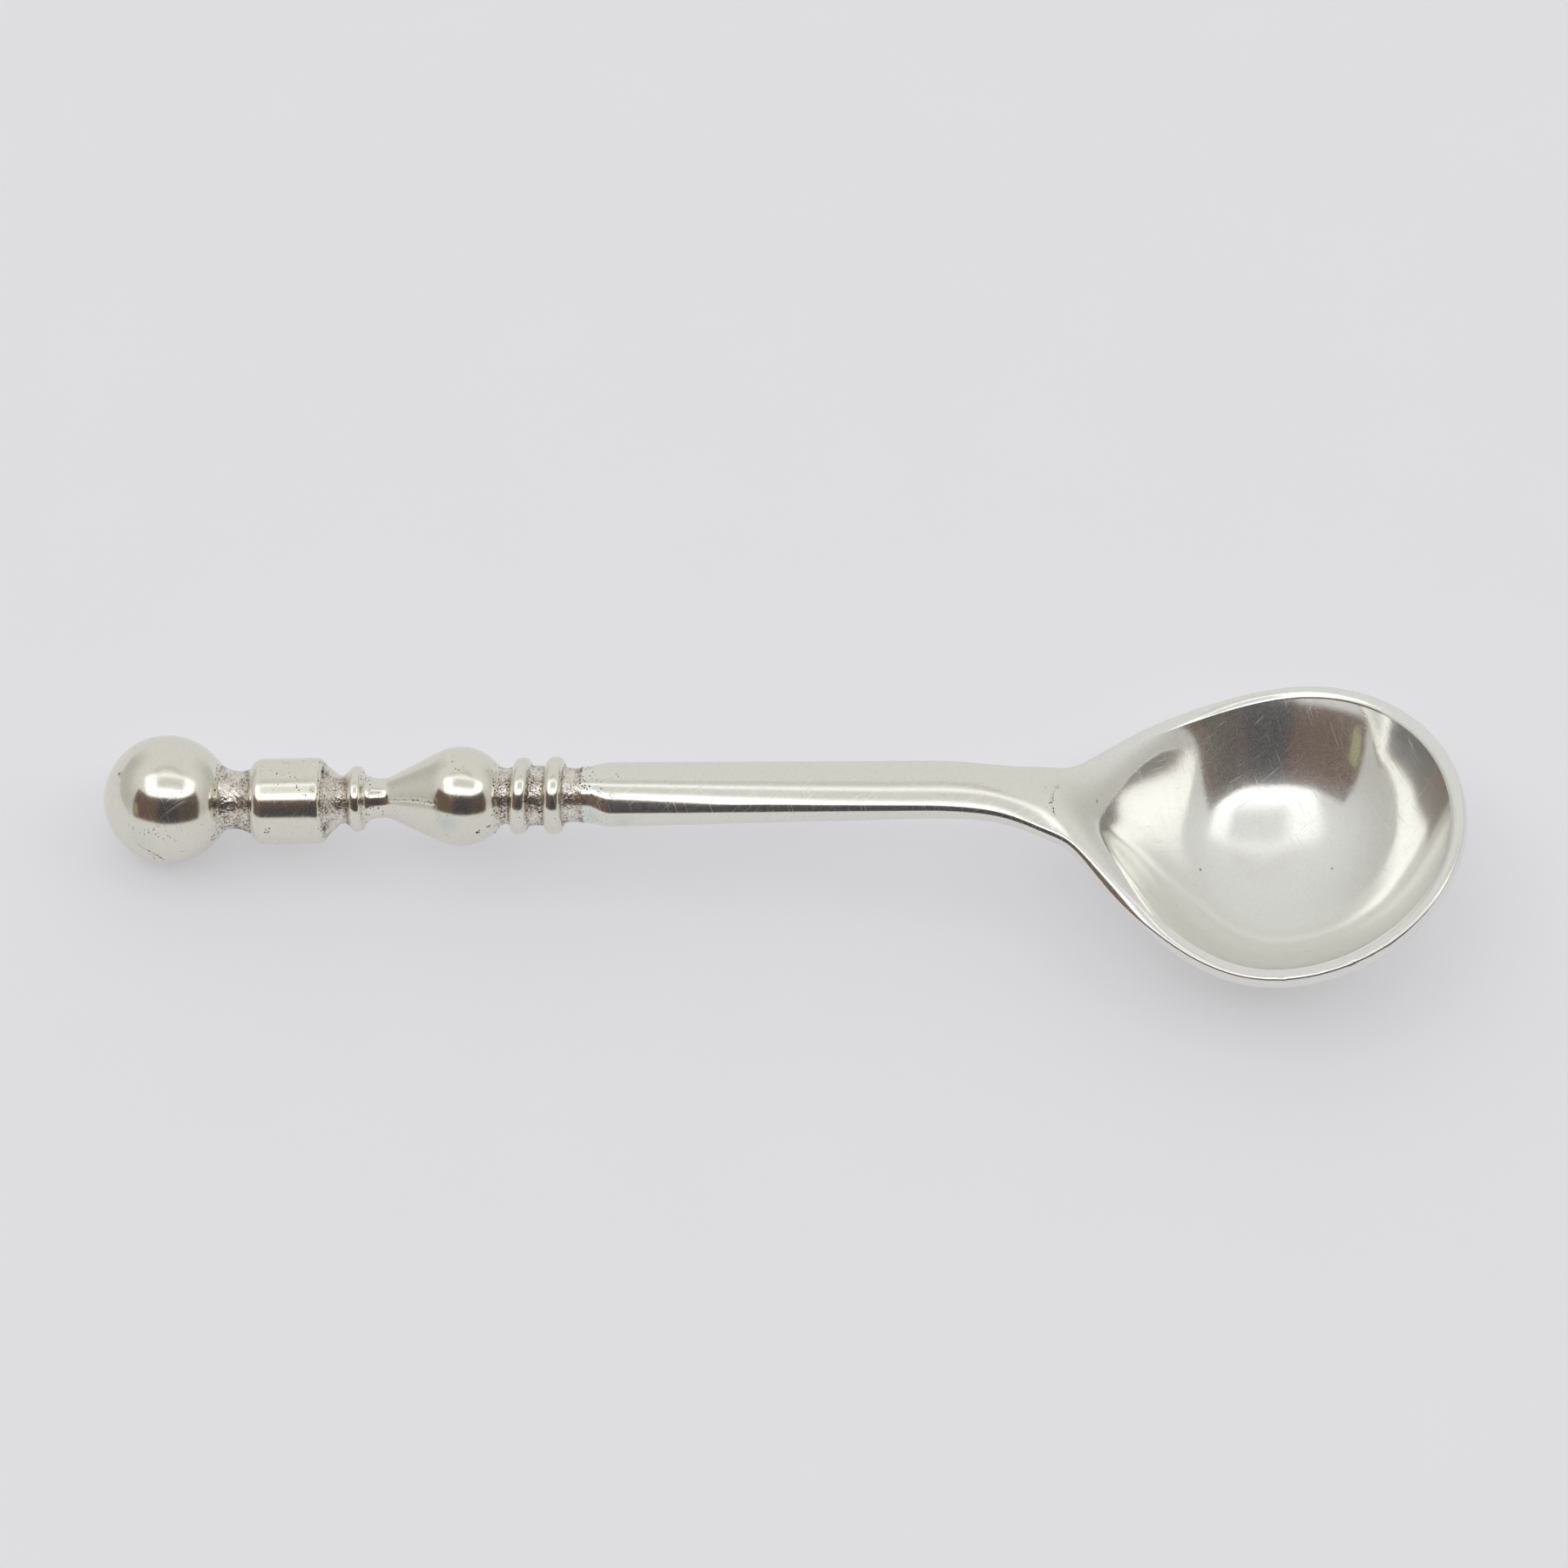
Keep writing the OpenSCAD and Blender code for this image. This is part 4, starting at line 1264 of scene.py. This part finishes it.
@dataclass
class Knop:
    """Turned beads, collars and necks on the peg behind the stem."""

    ball_d: float = 6.6
    ball_seat_d: float = 3.4
    ball_neck_len: float = 1.58
    ball_neck_d: float = 2.96
    barrel_len: float = 3.78
    barrel_d: float = 4.43
    barrel_round: float = 0.6
    barrel_lip: float = 0.28
    barrel_neck_len: float = 1.34
    barrel_cone_d: float = 3.8
    spool_waist: float = 0.62
    barrel_neck_end_d: float = 2.9
    barrel_neck_d: float = 2.36
    neck_ring_len: float = 0.7
    neck_ring_d: float = 3.42
    neck_ring_round: float = 0.26
    thin_d: float = 2.04
    thin_len: float = 1.25
    thin_flare: float = 0.3
    thin_power: float = 2.2
    thin_waist: float = 0.75
    cone_len: float = 3.75
    belly_d: float = 5.12
    baluster_seat_d: float = 2.96
    baluster_neck_len: float = 0.58
    baluster_neck_d: float = 2.8
    rear_collar_len: float = 0.9
    rear_collar_d: float = 3.95
    rear_lean: float = 0.058
    collar_round: float = 0.34
    spacer_len: float = 0.83
    spacer_d: float = 3.04
    front_collar_len: float = 0.94
    front_collar_d: float = 3.98
    front_lean: float = 0.032
    stem_neck_len: float = 1.06
    stem_neck_end_d: float = 2.9
    stem_neck_d: float = 2.72
    # How far the beads stand off the axis, from the ball's seat to the far end of the baluster
    stand_off: tuple[float, ...] = (0.12, -0.11, -0.11, -0.03, 0.04, 0)
    hole_d: float = 1.26
    ball_hole_depth: float = 3.4
    facets: int = 240
    corner_steps: int = 16
    thin_steps: int = 12
    belly_steps: int = 80
    ball_steps: int = 140
    step: float = 0.03
    soft: float = 0.13
    soft_reach: float = 4.0
    ball_soft: float = 1.2
    grime_most: float = 0.5
    grain_size: float = 0.16
    grain_height: float = 0.07
    grain_fade: float = 0.12

    def __post_init__(self) -> None:
        """Works out the places along the handle and the ends of the holes for the peg."""
        ball_r, belly_r = self.ball_d / 2, self.belly_d / 2
        seat = self.ball_seat_x = math.sqrt(ball_r ** 2 - self.ball_seat_d ** 2 / 4)
        self.belly_run = self.thin_len + self.cone_len
        self.baluster_len = self.belly_run + math.sqrt(belly_r ** 2 - self.baluster_seat_d ** 2 / 4)
        lengths = (self.ball_neck_len, self.barrel_len, self.barrel_neck_len, self.neck_ring_len,
                   self.baluster_len, self.baluster_neck_len, self.rear_collar_len, self.spacer_len,
                   self.front_collar_len, self.stem_neck_len)
        places = np.cumsum(lengths) + seat
        (self.barrel_x, self.barrel_neck_x, self.neck_ring_x, self.baluster_x, self.baluster_neck_x,
         self.rear_collar_x, self.spacer_x, self.front_collar_x, self.stem_neck_x, self.stem_x) = places
        self.bores = [(seat - self.ball_hole_depth, seat), *zip([seat, *places], places)]

    def bead(self, x: float, length: float, d: float, start_r: float, end_r: float) -> np.ndarray:
        """Outline of a bead with round corners."""
        return np.concatenate([arc(x + start_r, d / 2 - start_r, start_r, 180, 90, self.corner_steps),
                               arc(x + length - end_r, d / 2 - end_r, end_r, 90, 0, self.corner_steps)])

    def neck(self, x: float, length: float, end_d: float, waist_d: float) -> np.ndarray:
        """Outline of a neck that narrows to a round waist.

        Args:
            x: its start along the handle.
            length: its length.
            end_d: diameter of its ends.
            waist_d: diameter of its waist.

        Returns:
            Places along the handle and radii.
        """
        step = (end_d - waist_d) / 2
        radius = (length ** 2 / 4 + step ** 2) / (2 * step)
        half = math.degrees(math.asin(length / 2 / radius))
        return arc(x + length / 2, waist_d / 2 + radius, radius, 270 - half, 270 + half)

    def spool(self) -> np.ndarray:
        """Outline of the spool behind the barrel: a cone to its waist, then a hollow flare.

        Returns:
            Places along the handle and radii.
        """
        flare = self.barrel_neck_len * (1 - self.spool_waist)
        step = (self.barrel_neck_end_d - self.barrel_neck_d) / 2
        radius = (flare ** 2 + step ** 2) / (2 * step)
        end = 270 + math.degrees(math.asin(flare / radius))
        hollow = arc(self.neck_ring_x - flare, self.barrel_neck_d / 2 + radius, radius, 270, end,
                     self.corner_steps)
        return np.concatenate([[[self.barrel_neck_x, self.barrel_cone_d / 2]], hollow])

    def soften(self, skins: list[np.ndarray]) -> list[np.ndarray]:
        """Runs the outlines of all pieces softly into each other, as casting and buffing leave them.

        Args:
            skins: the outlines from the ball to the stem.

        Returns:
            The outlines, evenly divided, with shared ends.
        """
        line = np.concatenate(skins)
        run = run_along(line)
        ends = run[np.cumsum([len(skin) for skin in skins]) - 1]
        even = np.linspace(0, run[-1], round(run[-1] / self.step) + 1)
        points = np.stack([np.interp(even, run, line[:, k]) for k in (0, 1)], -1)
        reach = math.ceil(self.soft_reach * self.soft / self.step)
        weights = np.exp(-0.5 * (np.arange(-reach, reach + 1) * self.step / self.soft) ** 2)
        long = np.pad(points, ((reach, reach), (0, 0)), mode="reflect", reflect_type="odd")
        smooth = np.stack([np.convolve(long[:, k], weights / weights.sum(), "valid") for k in (0, 1)], -1)
        # The ball stays a true ball except next to its neck
        share = ease((even - ends[0]) / self.ball_soft + 1)[:, None]
        smooth = points + (smooth - points) * share
        cuts = np.searchsorted(even, ends - TINY)
        return [smooth[a:b + 1] for a, b in zip([0, *cuts[:-1]], cuts)]

    def baluster(self) -> np.ndarray:
        """Outline of the teardrop: a thin end, a cone that runs into a round belly, and its seat.

        Returns:
            Places along the handle and radii.
        """
        thin, belly = self.thin_d / 2, self.belly_d / 2
        cone = math.asin(belly / math.hypot(self.cone_len, thin)) - math.atan2(thin, self.cone_len)
        seat = math.asin(self.baluster_seat_d / self.belly_d)
        x = self.baluster_x
        hollow = np.linspace(1, 0, self.thin_steps)
        neck = np.stack([x + self.thin_waist * (1 - hollow),
                         thin + self.thin_flare * hollow ** self.thin_power], -1)
        drop = arc(x + self.belly_run, 0, belly, 90 + math.degrees(cone), math.degrees(seat),
                   self.belly_steps)
        return np.concatenate([neck, [[x + self.thin_len, thin]], drop])

    def beads(self) -> list[Bead]:
        """Lists the turned pieces from the ball to the stem.

        Returns:
            The pieces.
        """
        seat, ring_r, collar_r = self.ball_seat_x, self.neck_ring_round, self.collar_round
        polished, cast = Slot.POLISHED, Slot.CAST
        seat_a = math.degrees(math.atan2(self.ball_seat_d / 2, seat))
        ball = arc(0, 0, self.ball_d / 2, 180, seat_a, self.ball_steps)
        ball_neck = self.neck(seat, self.ball_neck_len, self.ball_seat_d, self.ball_neck_d)
        barrel = self.bead(self.barrel_x, self.barrel_len, self.barrel_d, self.barrel_round, self.barrel_lip)
        ring = self.bead(self.neck_ring_x, self.neck_ring_len, self.neck_ring_d, ring_r, ring_r)
        baluster_neck = self.neck(self.baluster_neck_x, self.baluster_neck_len, self.baluster_seat_d,
                                  self.baluster_neck_d)
        rear = self.bead(self.rear_collar_x, self.rear_collar_len, self.rear_collar_d, collar_r, collar_r)
        spacer = np.array([[x, self.spacer_d / 2] for x in (self.spacer_x, self.front_collar_x)])
        front = self.bead(self.front_collar_x, self.front_collar_len, self.front_collar_d, collar_r, collar_r)
        stem_neck = self.neck(self.stem_neck_x, self.stem_neck_len, self.stem_neck_end_d, self.stem_neck_d)
        return [
            Bead("ball_knop", polished, ball, (0, 0.7), (
                Mark((-2.17, 0.04, 2.49), 0.12, 0.04, 1.0),
                Mark((1.11, 1.51, 2.78), 0.08, 0.02, 0.9),
                # A pale green reflection tint painted low on the ball's near side
                Mark((-1.0, -2.93, 0.78), 0.6, 0, 0, 0.35),
                Mark((-0.61, -2.81, 1.4), 0.4, 0, 0.5),
                Mark((-1.52, -2.36, 1.56), 0.35, 0, 0.45),
                *mark_line([(-1.2, -2.93, 0.38), (-0.86, -3.06, 0.17), (-0.51, -3.14, 0.03),
                            (-0.22, -3.14, -0.47), (0, -3.08, -0.81)], 0.09, 0.2, 0.85),
                *mark_line([(-0.51, -3.14, 0.03), (-0.54, -3.04, -0.77)], 0.08, 0.2, 0.7))),
            Bead("ball_neck", cast, ball_neck, (0.3, 0.4)),
            Bead("barrel", polished, barrel, (0.4, 0.3), (Mark((5.33, -2.25, 0.56), 0.28, 0, 0.65),)),
            Bead("barrel_neck", cast, self.spool(), (0.3, 0.3)),
            Bead("neck_ring", polished, ring, (0.15, 0.15)),
            Bead("baluster", polished, self.baluster(), (1.4, 0.6), (
                Mark((16.24, -2.32, 0.2), 0.13, 0.05, 1.0),
                Mark((16.81, -1.98, 0.24), 0.12, 0.05, 1.0),
                Mark((16.99, -1.66, -0.81), 0.13, 0.05, 1.0),
                Mark((15.26, -0.01, 2.56), 0.1, 0.02, 0.8),
                # A pale green reflection tint painted on the near side of the cone
                Mark((14.72, -2.27, 0.98), 0.5, 0, 0, 0.75),
                *mark_line([(11.72, -0.71, 0.89), (12.21, -0.85, 1.08), (12.79, -1.01, 1.31),
                            (13.46, -1.26, 1.52), (14.22, -1.54, 1.75)], 0.08, 0.2, 0.62))),
            Bead("baluster_neck", cast, baluster_neck, (0.2, 0.2)),
            Bead("rear_collar", polished, rear, (0.2, 0.2)),
            Bead("collar_spacer", cast, spacer, (0.3, 0.3)),
            Bead("front_collar", polished, front, (0.2, 0.2), (Mark((20.7, -1.88, -0.5), 0.13, 0.07, 1.0),)),
            Bead("stem_neck", cast, stem_neck, (0.3, 0.3)),
        ]

    def lean(self, x: np.ndarray) -> np.ndarray:
        """Slant of the hand-set collars along the handle, as a slope.

        Args:
            x: places along the handle.

        Returns:
            The slopes.
        """
        places = (self.baluster_neck_x, self.rear_collar_x, self.spacer_x, self.front_collar_x,
                  self.stem_neck_x, self.stem_x)
        return np.interp(x, places, (0, self.rear_lean, self.rear_lean, self.front_lean, self.front_lean, 0))

    def wander(self, x: np.ndarray) -> np.ndarray:
        """How far the hand-set beads stand off the axis, in millimetres.

        Args:
            x: places along the handle.

        Returns:
            The distances.
        """
        places = (self.ball_seat_x, self.barrel_x, self.barrel_neck_x, self.neck_ring_x,
                  self.baluster_x + self.belly_run, self.baluster_neck_x)
        return np.interp(x, places, self.stand_off)

    def build(self, handle: Handle, finishes: dict[Slot, Material]) -> None:
        """Turns every bead.

        Args:
            handle: the handle's frame.
            finishes: the material of each slot.
        """
        lathe = Lathe()
        beads = self.beads()
        skins = self.soften([bead.skin for bead in beads])
        for number, (bead, skin, (low, high)) in enumerate(zip(beads, skins, self.bores)):
            r = self.hole_d / 2
            run = run_along(skin)
            grain = ease(np.minimum(run, run[-1] - run) / self.grain_fade)
            dirt = self.grime_most * sum(np.exp(-(way / max(reach, TINY)) ** 2)
                                         for way, reach in zip((run, run[-1] - run), bead.grime))
            # The hole in the ball is blind, and every other one goes through
            blind = bead.node == "ball_knop"
            before = np.zeros((0, 2)) if blind else np.array([[low, r]])
            after = np.array([[high, r], [low, r], [low, 0]][:3 if blind else 2])
            pads = (len(before), len(after))
            carried = {"lean": self.lean(skin[:, 0]), "wander": self.wander(skin[:, 0]) * MM, "grain": grain}
            carried = {name: np.pad(values, pads) for name, values in carried.items()}
            carried[TARNISH] = np.pad(dirt, pads, mode="edge")
            height = self.grain_height if bead.slot is Slot.CAST else 0.0
            piece = lathe.turn(bead.node + "_silver", np.concatenate([before, skin, after]), carried, {
                "Facets": self.facets, "Pitch": handle.pitch, "Middle": Vector(handle.middle),
                "Grain size": self.grain_size * MM, "Grain height": height * MM, "Seed": float(number),
                "Crease": CREASE, "Finish": finishes[bead.slot]})
            apply_marks(piece.data, handle, bead.marks)
            finish_piece(piece, bead.node, bead.slot)


def main() -> None:
    """Builds the studio and the spoon, piece by piece."""
    logging.basicConfig(level=logging.INFO, format="%(name)s: %(message)s")
    Studio().build()
    knop = Knop()
    handle = Handle.from_solids(knop.ball_d / 2)
    polished = PolishedSilver().material()
    Body(stem_x=float(knop.stem_x)).build(handle, polished)
    knop.build(handle, {Slot.POLISHED: polished, Slot.CAST: CastSilver().material()})
    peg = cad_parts["knop_peg"]
    peg.data.materials.clear()
    peg.data.materials.append(DrawnSilver().material(handle.pitch))
    LOG.info("knop_peg: the solid itself, %s", Slot.PEG.value)


if __name__ == "__main__":
    main()
